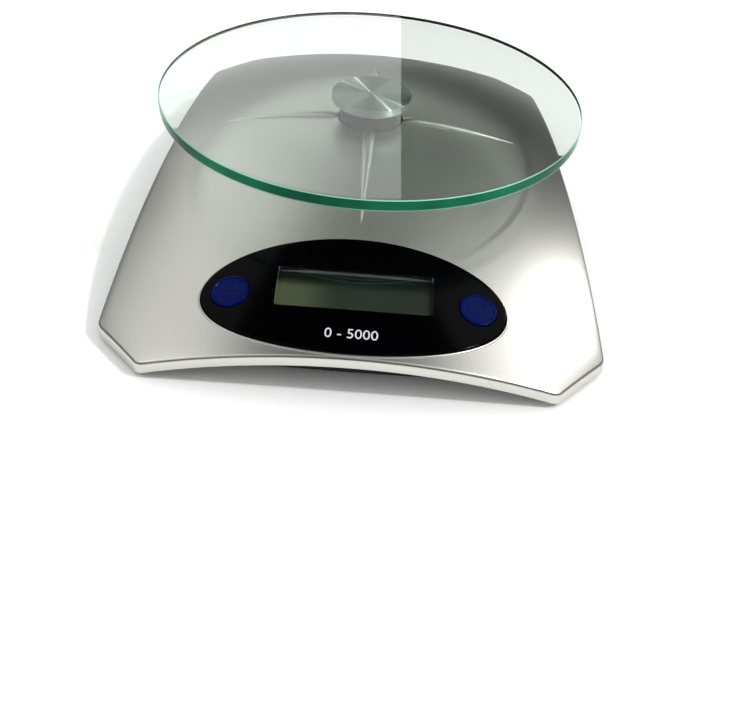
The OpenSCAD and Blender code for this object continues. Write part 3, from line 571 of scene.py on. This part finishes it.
def bodySkin():
    # from the post's hole over the crown to the rim, round its edge and back underneath
    rings = np.arange(body["ringsFrom"], body["ridgeRing"] + 0.1, body["ringStep"])
    rows = [ringRow(r) for r in np.concatenate([body["innerRings"], rings])]
    fillet = body["topFillet"]
    inner = reachAlong(columnAngles, fillet)
    for share in np.linspace(0, 1, body["outerRings"])[1:]:
        reach = body["ridgeRing"] + (inner - body["ridgeRing"]) * share
        rows.append(outlineRow(reach, crownZ))
    for a in np.linspace(0, math.pi / 2, body["filletRings"])[1:]:
        reach = reachAlong(columnAngles, fillet * (1 - math.sin(a)))
        rows.append(outlineRow(reach, lambda x, y: crownZ(x, y) - fillet * (1 - math.cos(a))))
    low = body["lowFillet"]
    for a in np.linspace(0, math.pi / 2, body["lowFilletRings"]):
        reach = reachAlong(columnAngles, low * (1 - math.cos(a)))
        rows.append(outlineRow(reach, lambda x, y: crownZ(x, y, body["rim"]) + low * (1 - math.sin(a))))
    wall = reachAlong(columnAngles, body["rimWall"])
    rows.append(outlineRow(wall, lambda x, y: crownZ(x, y, body["rim"])))
    rows.append(outlineRow(wall, lambda x, y: crownZ(x, y, body["wall"])))
    for share in np.linspace(1, 0, body["underRings"])[1:]:
        reach = body["holeRadius"] + (wall - body["holeRadius"]) * share
        rows.append(outlineRow(reach, lambda x, y: crownZ(x, y, body["wall"])))
    return np.concatenate(rows), loftFaces(len(rows), len(columnAngles), True)


bodyShell = smoothed(newPiece("bodyShell", *bodySkin(), silverLacquer), body["sharpAngle"])
print("body shell made", len(bodyShell.data.polygons))

# Display panel: an oval that follows the crown
panel = {
    "width": 95.8,
    "depth": 43.8,
    "y": -71.05,
    "rise": 0.8,
    "below": 0.5,
    "edge": 0.5,
    "windowWidth": 48.8,
    "windowHeight": 15.4,
    "windowCorner": 1.0,
    "windowShift": 0.7,
    "sides": 192,
    "rings": (0.02, 0.1, 0.2, 0.3, 0.4, 0.5, 0.6, 0.7, 0.8, 0.87, 0.93, 0.97),
    "edgeRings": 5,
}
# the cutters of its openings reach from below it to above it
cutterSpan = (-4, 6)
displayTilt = math.asin((body["postY"] - panel["y"]) / body["alongRadius"])
displayPlace = (
    Matrix.Translation((0, panel["y"], float(crownZ(0.0, panel["y"]))))
    @ Matrix.Rotation(displayTilt, 4, "X"))


def ovalRow(shrink, drop, share=1.0):
    points = []
    for k in range(panel["sides"]):
        a = 2 * math.pi * k / panel["sides"]
        x = (panel["width"] / 2 - shrink) * share * math.cos(a)
        y = panel["y"] + (panel["depth"] / 2 - shrink) * share * math.sin(a)
        points.append((x, y, float(crownZ(x, y, drop))))
    return points


def ovalPlate(shrink, top, bottom, edge):
    rows = [ovalRow(shrink + edge, -top, share) for share in panel["rings"]]
    for a in np.linspace(0, math.pi / 2, panel["edgeRings"]):
        rows.append(ovalRow(shrink + edge * (1 - math.sin(a)), -top + edge * (1 - math.cos(a))))
    rows.append(ovalRow(shrink, bottom))
    for share in reversed(panel["rings"]):
        rows.append(ovalRow(shrink, bottom, share))
    points = [p for row in rows for p in row]
    faces = loftFaces(len(rows), panel["sides"])
    faces.append(tuple(reversed(range(panel["sides"]))))
    faces.append(tuple(range((len(rows) - 1) * panel["sides"], len(rows) * panel["sides"])))
    return points, faces


def roundedBox(width, height, low, high, radius, place, steps=5):
    loop = []
    for cx, cy, start in ((1, 1, 0), (-1, 1, 90), (-1, -1, 180), (1, -1, 270)):
        for k in range(steps + 1):
            a = math.radians(start + 90 * k / steps)
            loop.append((cx * (width / 2 - radius) + radius * math.cos(a),
                         cy * (height / 2 - radius) + radius * math.sin(a)))
    return prism(loop, low, high, place)


button = {
    "diameter": 12.0,
    "x": 38.4,
    "y": -70.95,
    "rise": 0.6,
    "clear": 0.3,
    "ring": 0.7,
    "dish": 0.3,
    "flange": 14.6,
    "flangeLow": -3.5,
    "flangeHigh": -2.6,
    "stemRadius": 1.2,
    "stemLow": -5.45,
    "sides": 96,
    "openingSides": 64,
}
buttonTurn = math.asin(button["x"] / float(ringRadius(button["y"])))
buttonTilt = math.asin((body["postY"] - button["y"]) / body["alongRadius"])


def buttonPlace(side):
    return (Matrix.Translation((side * button["x"], button["y"], float(crownZ(button["x"], button["y"]))))
            @ Matrix.Rotation(side * buttonTurn, 4, "Y") @ Matrix.Rotation(buttonTilt, 4, "X"))


def windowCutter():
    place = displayPlace @ Matrix.Translation((0, panel["windowShift"], 0))
    return newPiece("cutter", *roundedBox(
        panel["windowWidth"], panel["windowHeight"], *cutterSpan, panel["windowCorner"], place), blackAcrylic)


def buttonCutter(side, radius):
    angles = [2 * math.pi * k / button["openingSides"] for k in range(button["openingSides"])]
    loop = [(radius * math.cos(a), radius * math.sin(a)) for a in angles]
    return newPiece("cutter", *prism(loop, *cutterSpan, buttonPlace(side)), blackAcrylic)


displayPanel = smoothed(newPiece(
    "displayPanel", *ovalPlate(0, panel["rise"], panel["below"], panel["edge"]), blackAcrylic))
cutWith(displayPanel, windowCutter())
for side in (-1, 1):
    cutWith(displayPanel, buttonCutter(side, button["diameter"] / 2 + button["clear"]))
smoothed(displayPanel)

# the shell rises in a low rim round the panel, has a pocket for it and is open under its middle
shellSeat = {
    "rimWidth": 0.55,
    "rimRise": 0.28,
    "rimEdge": 0.25,
    "rimLow": 1.5,
    "pocketClear": 0.12,
    "pocket": 0.6,
    "pocketEdge": 0.05,
    "ledge": 2.0,
    "ledgeEdge": 0.2,
    "above": 3.0,
    "below": 5.0,
}
seatRim = ovalPlate(-shellSeat["rimWidth"], shellSeat["rimRise"], shellSeat["rimLow"], shellSeat["rimEdge"])
pocket = ovalPlate(
    -shellSeat["pocketClear"], shellSeat["above"], shellSeat["pocket"], shellSeat["pocketEdge"])
opening = ovalPlate(shellSeat["ledge"], shellSeat["above"], shellSeat["below"], shellSeat["ledgeEdge"])
cutWith(bodyShell, newPiece("cutter", *seatRim, silverLacquer), "UNION")
cutWith(bodyShell, newPiece("cutter", *pocket, silverLacquer))
cutWith(bodyShell, newPiece("cutter", *opening, silverLacquer))
smoothed(bodyShell, body["sharpAngle"])
print("display panel made")


# Node trees
def newTree(name, kinds):
    # a tree that makes a piece, the keys that a modifier sets its inputs by, and their sockets in the tree
    tree = bpy.data.node_groups.new(name, "GeometryNodeTree")
    keys = {}
    for label, kind in kinds.items():
        socket = tree.interface.new_socket(label, in_out="INPUT", socket_type="NodeSocket" + kind)
        keys[label] = socket.identifier
    tree.interface.new_socket("Piece", in_out="OUTPUT", socket_type="NodeSocketGeometry")
    return tree, keys, addNode(tree, "NodeGroupInput").outputs


def endTree(tree, geometry, material):
    real = addNode(tree, "GeometryNodeRealizeInstances", links={"Geometry": geometry})
    worn = addNode(tree, "GeometryNodeSetMaterial", links={
        "Geometry": real.outputs["Geometry"], "Material": material})
    addNode(tree, "NodeGroupOutput", links={"Piece": worn.outputs["Geometry"]})


# Turned pieces: one tree turns a profile of radius and height about the piece's own axis
def turningTree():
    tree, keys, given = newTree("turnedProfile", {
        "Profile": "Geometry", "Middle Radius": "Float", "Sides": "Int", "Material": "Material"})
    profile = addNode(tree, "GeometryNodeMeshToCurve", links={"Mesh": given["Profile"]})
    path = addNode(tree, "GeometryNodeCurvePrimitiveCircle", links={
        "Resolution": given["Sides"], "Radius": given["Middle Radius"]})
    swept = addNode(tree, "GeometryNodeCurveToMesh", links={
        "Curve": path.outputs["Curve"], "Profile Curve": profile.outputs["Curve"]})
    merged = addNode(tree, "GeometryNodeMergeByDistance", links={
        "Geometry": swept.outputs["Mesh"], "Distance": turning["weld"] * mm})
    endTree(tree, merged.outputs["Geometry"], given["Material"])
    return tree, keys


# the radius of the circle that the profiles are swept round
turning = {
    "radius": 50.0,
    "weld": 0.002,
}
turningNodes, turningKeys = turningTree()


def turnedPiece(name, profile, material, place, sides=128, angle=32):
    # profile goes from the axis, out and back to the axis, as (radius, height)
    mesh = bpy.data.meshes.new(name)
    points = [((r - turning["radius"]) * mm, -z * mm, 0.0) for r, z in profile]
    mesh.from_pydata(points, [(i, i + 1) for i in range(len(points) - 1)], [])
    piece = bpy.data.objects.new(name, mesh)
    bpy.context.scene.collection.objects.link(piece)
    lathe = piece.modifiers.new("turning", "NODES")
    lathe.node_group = turningNodes
    lathe[turningKeys["Middle Radius"]] = turning["radius"] * mm
    lathe[turningKeys["Sides"]] = sides
    lathe[turningKeys["Material"]] = material
    baked(piece)
    move = place.copy()
    move.translation = move.translation * mm
    piece.data.transform(move)
    return smoothed(piece, angle)


def roundedProfile(corners, steps=6):
    # corners are (radius, height, rounding) in millimetres
    profile = []
    for i, (r, z, rounding) in enumerate(corners):
        here = Vector((r, z))
        if not rounding or i in (0, len(corners) - 1):
            profile.append((r, z))
            continue
        u = (Vector(corners[i - 1][:2]) - here).normalized()
        v = (Vector(corners[i + 1][:2]) - here).normalized()
        half = u.angle(v) / 2
        centre = here + (u + v).normalized() * rounding / math.sin(half)
        start = here + u * rounding / math.tan(half) - centre
        end = here + v * rounding / math.tan(half) - centre
        sweep = start.angle_signed(end)
        for k in range(steps + 1):
            p = centre + Matrix.Rotation(-sweep * k / steps, 2) @ start
            profile.append((p.x, p.y))
    return profile


plate = {
    "radius": 75.5,
    "forward": 2.0,
    "low": 43.0,
    "thick": 4.0,
    "bevel": 0.3,
    "flatTo": 73.5,
    "rounding": 0.15,
    "sides": 288,
    "sharpAngle": 20,
    "edgeBand": 0.06,
    "arrisBand": 0.02,
}
hub = {
    "discRadius": 14.5,
    "discLow": 39.5,
    "discHigh": plate["low"] - 0.02,
    "flatTo": 14.0,
    "bevel": 1.2,
    "rounding": 0.3,
    "postRadius": 11.3,
    "postLow": 26.4,
}
axisPlace = Matrix.Translation((0, body["postY"], 0))
platePlace = Matrix.Translation((0, body["postY"] - plate["forward"], 0))
plateTop = plate["low"] + plate["thick"]
weighingPlate = turnedPiece("weighingPlate", roundedProfile([
    (0, plate["low"], 0),
    (plate["flatTo"], plate["low"], 0),
    (plate["radius"] - plate["bevel"], plate["low"], 0.1),
    (plate["radius"], plate["low"] + 2 * plate["bevel"], plate["rounding"]),
    (plate["radius"], plateTop - plate["bevel"], plate["rounding"]),
    (plate["radius"] - plate["bevel"], plateTop, 0.1),
    (plate["flatTo"], plateTop, 0),
    (0, plateTop, 0),
], 3), floatGlass, platePlace, plate["sides"], plate["sharpAngle"])
weighingPlate.data.materials.append(emeraldEdge)
weighingPlate.data.materials.append(arrisFrostAndHighlight)
for face in weighingPlate.data.polygons:
    out = math.hypot(face.center.x, face.center.y - platePlace.translation.y * mm) / mm
    if out > plate["radius"] - plate["edgeBand"]:
        face.material_index = 1
    # the bevels take the frosted arris with its painted highlight
    elif out > plate["radius"] - plate["bevel"] - plate["arrisBand"]:
        face.material_index = 2
hubDisc = turnedPiece("hubDisc", roundedProfile([
    (0, hub["discLow"], 0),
    (hub["discRadius"] - hub["bevel"], hub["discLow"], hub["rounding"]),
    (hub["discRadius"], hub["discLow"] + hub["bevel"], hub["rounding"]),
    (hub["discRadius"], hub["discHigh"], hub["rounding"]),
    (hub["flatTo"], hub["discHigh"], 0),
    (0, hub["discHigh"], 0),
]), turnedAluminium, axisPlace)
hubPost = turnedPiece("hubPost", roundedProfile([
    (0, hub["postLow"], 0),
    (hub["postRadius"], hub["postLow"], hub["rounding"]),
    (hub["postRadius"], hub["discLow"], 0.1),
    (0, hub["discLow"], 0),
]), shadedFineTurnedAluminium, axisPlace)

buttonTop = panel["rise"] + button["rise"]


def buttonPiece(name, side):
    half, flange = button["diameter"] / 2, button["flange"] / 2
    inRing = half - button["ring"]
    face, faceEdge = buttonTop - button["dish"], inRing - button["dish"]
    profile = roundedProfile([
        (0, button["stemLow"], 0),
        (button["stemRadius"], button["stemLow"], 0.1),
        (button["stemRadius"], button["flangeLow"], 0),
        (flange, button["flangeLow"], 0.1),
        (flange, button["flangeHigh"], 0.1),
        (half, button["flangeHigh"], 0),
        (half, buttonTop, 0.4),
        (inRing, buttonTop, 0.15),
        (faceEdge, face, 0.1),
        (faceEdge - 0.3, face, 0),
        (0, face, 0),
    ], 4)
    return turnedPiece(name, profile, blueAbs, buttonPlace(side), button["sides"])


leftButton = buttonPiece("leftButton", -1)
rightButton = buttonPiece("rightButton", 1)
print("turned pieces made")

# Feet
foot = {
    "places": {
        "foot_front_left": (-57.0, -68.25),
        "foot_front_right": (57.0, -68.25),
        "foot_back_left": (-46.0, 73.25),
        "foot_back_right": (46.0, 73.25),
    },
    "hollowRadius": 3.6,
    "hollow": 0.25,
    "treadFrom": 4.0,
    "treadTo": 5.2,
    "radius": 6.0,
    "flare": 0.8,
    "high": 3.0,
    "sides": 64,
}
footProfile = roundedProfile([
    (0, foot["hollow"], 0),
    (foot["hollowRadius"], foot["hollow"], 0.1),
    (foot["treadFrom"], 0.0, 0.1),
    (foot["treadTo"], 0.0, 0.3),
    (foot["radius"], foot["flare"], 0.4),
    (foot["radius"], foot["high"], 0.1),
    (0, foot["high"], 0),
], 3)
footPieces = {}
for name, (x, y) in foot["places"].items():
    footPieces[name] = turnedPiece(
        name + "_pad", footProfile, mouldedRubber, Matrix.Translation((x, y, 0)), foot["sides"])

# Window over the display
pane = {
    "gap": 0.2,
    "low": -0.9,
    "sunk": 0.1,
    "corner": 0.9,
}
lens = smoothed(newPiece("windowPane", *roundedBox(
    panel["windowWidth"] - pane["gap"], panel["windowHeight"] - pane["gap"],
    pane["low"], panel["rise"] - pane["sunk"], pane["corner"],
    displayPlace @ Matrix.Translation((0, panel["windowShift"], 0))), clearAcrylic))


# Printed marks: flat shapes laid on the surface under them
def printed(name, flatMesh, surface, material, thick=0.03, sunk=0.02):
    # surface turns a flat place in millimetres into a point on the piece and the way out of it
    points, faces = [], []
    count = len(flatMesh.vertices)
    for lift in (thick, -sunk):
        for v in flatMesh.vertices:
            base, out = surface(v.co.x / mm, v.co.y / mm)
            points.append(base + out * lift)
    edgeUse = {}
    for polygon in flatMesh.polygons:
        corners = list(polygon.vertices)
        faces.append(tuple(corners))
        faces.append(tuple(count + c for c in reversed(corners)))
        for k, c in enumerate(corners):
            n = corners[(k + 1) % len(corners)]
            edgeUse[(c, n)] = edgeUse.get((n, c), 0) + 1
    for c, n in edgeUse:
        if (n, c) not in edgeUse:
            faces.append((n, c, count + c, count + n))
    return smoothed(newPiece(name, points, faces, material), 30)


def lettering(words, size, capitalShare=0.7):
    # generic words and numbers, in millimetres of capital height
    curve = bpy.data.curves.new("words", "FONT")
    curve.body = words
    curve.size = size * mm / capitalShare
    curve.align_x = "CENTER"
    curve.align_y = "CENTER"
    curve.resolution_u = 4
    holder = bpy.data.objects.new("words", curve)
    bpy.context.scene.collection.objects.link(holder)
    mesh = bpy.data.meshes.new_from_object(holder.evaluated_get(bpy.context.evaluated_depsgraph_get()))
    bpy.data.objects.remove(holder)
    shape = bmesh.new()
    shape.from_mesh(mesh)
    bmesh.ops.remove_doubles(shape, verts=shape.verts, dist=weld)
    bmesh.ops.triangulate(shape, faces=shape.faces)
    shape.to_mesh(mesh)
    shape.free()
    return mesh


def arrowPair(length, wide, gap, shaftShare=0.22):
    # two arrows that point opposite ways, the usual sign for changing over
    shaft, neck, tip = wide * shaftShare, length / 2 - wide, length / 2
    one = [(-tip, -shaft), (neck, -shaft), (neck, -wide / 2 - shaft), (tip, 0), (neck, wide / 2 + shaft),
           (neck, shaft), (-tip, shaft)]
    upper = [(x, y + gap) for x, y in one]
    lower = [(-x, -y - gap) for x, y in one]
    mesh = bpy.data.meshes.new("arrows")
    parts = [(0, 1, 5, 6), (2, 3, 4)]
    faces = parts + [tuple(len(one) + c for c in part) for part in parts]
    mesh.from_pydata([(x * mm, y * mm, 0.0) for x, y in upper + lower], [], faces)
    return mesh


marks = {
    "rangeWords": "0 - 5000",
    "rangeHeight": 3.4,
    "rangeY": -86.6,
    "onWords": "ON",
    "onHeight": 2.5,
    "arrowLength": 5.6,
    "arrowWide": 1.5,
    "arrowGap": 1.15,
}


def onPanel(x, y):
    y = marks["rangeY"] + y * math.cos(displayTilt)
    return Vector((x, y, float(crownZ(x, y, -panel["rise"])))), Vector((0, 0, 1))


def onButton(side):
    place = buttonPlace(side)
    out = (place.to_3x3() @ Vector((0, 0, 1))).normalized()
    return lambda x, y: (place @ Vector((x, y, buttonTop - button["dish"])), out)


rangeMark = printed("rangeMark", lettering(marks["rangeWords"], marks["rangeHeight"]), onPanel, greyInk)
onMark = printed("onMark", lettering(marks["onWords"], marks["onHeight"]), onButton(1), navyInk)
changeMark = printed("changeMark", arrowPair(
    marks["arrowLength"], marks["arrowWide"], marks["arrowGap"]), onButton(-1), navyInk)
print("marks made")


# Screws: one tree cuts a cross recess in a turned blank and sets it at every place
def screwTree():
    tree, keys, given = newTree("screwRow", {
        "Places": "Geometry", "Blank": "Object", "Cross Length": "Float", "Cross Width": "Float",
        "Cross Depth": "Float", "Turn": "Float", "Material": "Material"})
    blank = addNode(tree, "GeometryNodeObjectInfo", links={"Object": given["Blank"]})
    length, width, depth = given["Cross Length"], given["Cross Width"], given["Cross Depth"]
    deep = addNode(tree, "ShaderNodeMath", {"operation": "MULTIPLY"}, {0: depth, 1: 2.0})
    recess = addNode(tree, "GeometryNodeMeshBoolean", {"operation": "DIFFERENCE"}, {
        "Mesh 1": blank.outputs["Geometry"]})
    for x, y in ((length, width), (width, length)):
        size = addNode(tree, "ShaderNodeCombineXYZ", links={"X": x, "Y": y, "Z": deep.outputs[0]})
        bar = addNode(tree, "GeometryNodeMeshCube", links={"Size": size.outputs["Vector"]})
        tree.links.new(bar.outputs["Mesh"], recess.inputs["Mesh 2"])
    turn = addNode(tree, "ShaderNodeCombineXYZ", links={"X": given["Turn"]})
    row = addNode(tree, "GeometryNodeInstanceOnPoints", links={
        "Points": given["Places"], "Instance": recess.outputs["Mesh"], "Rotation": turn.outputs["Vector"]})
    endTree(tree, row.outputs["Instances"], given["Material"])
    return tree, keys


screwing, screwKeys = screwTree()
# the first four are shares of the head's size, the next four are in millimetres
screws = {
    "crossLength": 0.58,
    "crossWidth": 0.15,
    "crossDepth": 0.55,
    "rounding": 0.3,
    "headBand": 0.05,
    "shankBand": 0.3,
    "tipBevel": 0.3,
    "headEdge": 0.05,
    "sides": 40,
}


def separateSolids(node):
    # the corner points of each separate solid of a CAD node, in millimetres
    shape = bmesh.new()
    shape.from_mesh(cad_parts[node].data)
    bmesh.ops.remove_doubles(shape, verts=shape.verts, dist=weld)
    reached, found = set(), []
    for vertex in shape.verts:
        if vertex in reached:
            continue
        group, nearby = [], [vertex]
        reached.add(vertex)
        while nearby:
            v = nearby.pop()
            group.append(v)
            for link in v.link_edges:
                other = link.other_vert(v)
                if other not in reached:
                    reached.add(other)
                    nearby.append(other)
        found.append(np.array([tuple(v.co / mm) for v in group]))
    shape.free()
    return found


def screwRow(node):
    # the blank's head, shank and length are measured on the first of the node's solids
    solids = separateSolids(node)
    first = solids[0]
    middle = (first.min(0) + first.max(0)) / 2
    reach = np.hypot(first[:, 0] - middle[0], first[:, 1] - middle[1])
    head = reach.max()
    headLevels = first[reach > head - screws["headBand"]][:, 2]
    downward = headLevels.mean() < middle[2]
    low, high = first[:, 2].min(), first[:, 2].max()
    headHeight = headLevels.max() - headLevels.min()
    band = screws["shankBand"]
    shank = np.median(reach[(reach < head - band) & (reach > band)])
    blank = turnedPiece(node + "Blank", roundedProfile([
        (0, 0, 0),
        (head, 0, headHeight * screws["rounding"]),
        (head, headHeight, screws["headEdge"]),
        (shank, headHeight, 0),
        (shank, high - low - screws["tipBevel"], 0),
        (shank - screws["tipBevel"], high - low, 0),
        (0, high - low, 0),
    ], 4), platedSteel, Matrix.Identity(4), screws["sides"])
    places = []
    for solid in solids:
        corner = (solid.min(0) + solid.max(0)) / 2
        places.append((corner[0], corner[1], solid[:, 2].min() if downward else solid[:, 2].max()))
    piece = newPiece(node + "Row", places, [], platedSteel)
    row = piece.modifiers.new("screws", "NODES")
    row.node_group = screwing
    row[screwKeys["Blank"]] = blank
    row[screwKeys["Cross Length"]] = 2 * head * screws["crossLength"] * mm
    row[screwKeys["Cross Width"]] = 2 * head * screws["crossWidth"] * mm
    row[screwKeys["Cross Depth"]] = headHeight * screws["crossDepth"] * mm
    row[screwKeys["Turn"]] = 0.0 if downward else math.pi
    row[screwKeys["Material"]] = platedSteel
    baked(piece)
    bpy.data.objects.remove(blank)
    return smoothed(piece)


screwBodies = {
    "hub_screws": "platform",
    "carrier_screws": "platform",
    "cell_screws": "housing",
    "stop_screw": "housing",
    "case_screws": "housing",
    "board_screws": "housing",
}
screwPieces = {node: screwRow(node) for node in screwBodies}
print("screws made")

# Materials of the CAD nodes that stay
finishes = {
    "lcd_glass": polarizerFilm,
    "lcd_holder": greyAbs,
    "zebra_strip": zebraRubber,
    "circuit_board": maskedFibreglass,
    "chip": epoxyResin,
    "header": whiteNylon,
    "unit_switch": blackAbs,
    "on_switch": blackAbs,
    "unit_plunger": whiteNylon,
    "on_plunger": whiteNylon,
    "carrier": greyAbs,
    "weighing_cell": extrudedAluminium,
    "gauge_cover": gaugeSilicone,
    "base": blackAbs,
    "battery_door": blackAbs,
    "battery_front": shrinkSleeve,
    "battery_back": shrinkSleeve,
    "contact_bridge": platedSteel,
    "contact_front": platedSteel,
    "contact_back": platedSteel,
    "cell_lead": whitePvc,
    "front_lead": redPvc,
    "back_lead": blackPvc,
}
for name, material in finishes.items():
    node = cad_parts[name]
    node.data.materials.clear()
    node.data.materials.append(material)

# Which body each piece moves with, what it stands for and its slot
pieces = [
    (bodyShell, "housing", ["top_shell"], "silver_plastic"),
    (displayPanel, "housing", ["display_panel"], "black_gloss"),
    (lens, "housing", ["window_lens"], "clear_window"),
    (weighingPlate, "platform", ["weighing_plate"], "clear_glass"),
    (hubDisc, "platform", ["hub_disc"], "turned_aluminium"),
    (hubPost, "platform", ["hub_post"], "turned_aluminium"),
    (leftButton, "unit_key", ["unit_button"], "blue_plastic"),
    (rightButton, "on_key", ["on_button"], "blue_plastic"),
]
pieces += [(piece, "housing", [name], "black_rubber") for name, piece in footPieces.items()]
pieces += [(piece, screwBodies[name], [name], "steel") for name, piece in screwPieces.items()]
pieces += [
    (rangeMark, "housing", [], "white_plastic"),
    (onMark, "on_key", [], "blue_plastic"),
    (changeMark, "unit_key", [], "blue_plastic"),
]
for piece, rides, nodes, slot in pieces:
    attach(piece, rides)
    if nodes:
        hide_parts(*nodes)
print("pieces placed", len(pieces))

# Floor, room and lamps
floorSize = 6.0
floorLevel = -0.0002
floorCorners = [(x * floorSize, y * floorSize, floorLevel) for x, y in ((-1, -1), (1, -1), (1, 1), (-1, 1))]
floorMesh = bpy.data.meshes.new("floor")
floorMesh.from_pydata(floorCorners, [], [(0, 1, 2, 3)])
floor = bpy.data.objects.new("floor", floorMesh)
bpy.context.scene.collection.objects.link(floor)
# white studio paper: matt, with hardly any grain
studioPaper = grainedMaterial("studioPaper", "#f2f2f1", "#f6f6f5", (0.8, 0.9), 1.0, 0.01)
floor.data.materials.append(studioPaper)

# a pale room whose mirror image is dim, as the metal and the glass show it
room = {
    "colour": "#f3f5f5",
    "glow": 0.7,
    "mirroredGlow": 0.035,
}
world = bpy.data.worlds.new("room")
world.use_nodes = True
world.cycles.sampling_method = "NONE"
roomRay = addNode(world.node_tree, "ShaderNodeLightPath")
roomGlow = addNode(world.node_tree, "ShaderNodeMapRange", links={
    "Value": roomRay.outputs["Is Glossy Ray"], "To Min": room["glow"], "To Max": room["mirroredGlow"]})
roomBackground = world.node_tree.nodes["Background"]
roomBackground.inputs["Color"].default_value = linear(room["colour"])
world.node_tree.links.new(roomGlow.outputs["Result"], roomBackground.inputs["Strength"])
bpy.context.scene.world = world

# azimuth turns from the back to the right, elevation rises from the floor; sizes and distances in metres,
# glow is the brightness of the lamp's face, where white paper in full light has 1
lamps = [
    {"name": "leftBox", "azimuth": -68, "elevation": 48, "size": (1.7, 0.62), "glow": 0.95},
    {"name": "leftFrontBox", "azimuth": -125, "elevation": 50, "size": (1.0, 0.8), "glow": 0.8},
    {"name": "rightFrontBox", "azimuth": 135, "elevation": 55, "size": (0.9, 0.7), "glow": 0.6},
    {"name": "rightLamp", "azimuth": 110, "elevation": 48, "size": (0.07, 0.07), "glow": 430},
    {"name": "rightBackLamp", "azimuth": 56, "elevation": 40, "size": (0.045, 0.045), "glow": 280},
    {"name": "rightBackBox", "azimuth": 60, "elevation": 52, "size": (0.54, 0.6), "glow": 1.2},
]
lampDistance = 1.2
target = Vector((0, 0, 0.03))
# a white card behind the scale: its right edge is the upright edge mirrored in the glass
backCard = {
    "rightFoot": (0.018, 1.2, 0.44),
    "rightHead": (0.052, 1.2, 0.86),
    "width": 0.8,
    "glow": 0.9,
}


def addLamp(name, size, glow, place, turn):
    data = bpy.data.lights.new(name, "AREA")
    data.shape = "RECTANGLE"
    data.size, data.size_y = size
    data.energy = math.pi * size[0] * size[1] * glow
    light = bpy.data.objects.new(name, data)
    light.location = place
    light.rotation_euler = turn
    bpy.context.scene.collection.objects.link(light)


for lamp in lamps:
    azimuth, elevation = math.radians(lamp["azimuth"]), math.radians(lamp["elevation"])
    across = math.cos(elevation)
    way = Vector((math.sin(azimuth) * across, math.cos(azimuth) * across, math.sin(elevation)))
    addLamp(lamp["name"], lamp["size"], lamp["glow"], target + way * lampDistance,
            (-way).to_track_quat("-Z", "Y").to_euler())

cardFoot, cardHead = Vector(backCard["rightFoot"]), Vector(backCard["rightHead"])
upright = (cardHead - cardFoot).normalized()
outward = Vector((0, 1, 0)).cross(upright).normalized()
cardTurn = Matrix((-outward, upright, -outward.cross(upright))).transposed()
cardMiddle = (cardFoot + cardHead) / 2 - outward * backCard["width"] / 2
cardSize = (backCard["width"], (cardHead - cardFoot).length)
addLamp("backCard", cardSize, backCard["glow"], cardMiddle, cardTurn.to_euler())
print("stage and lamps made")
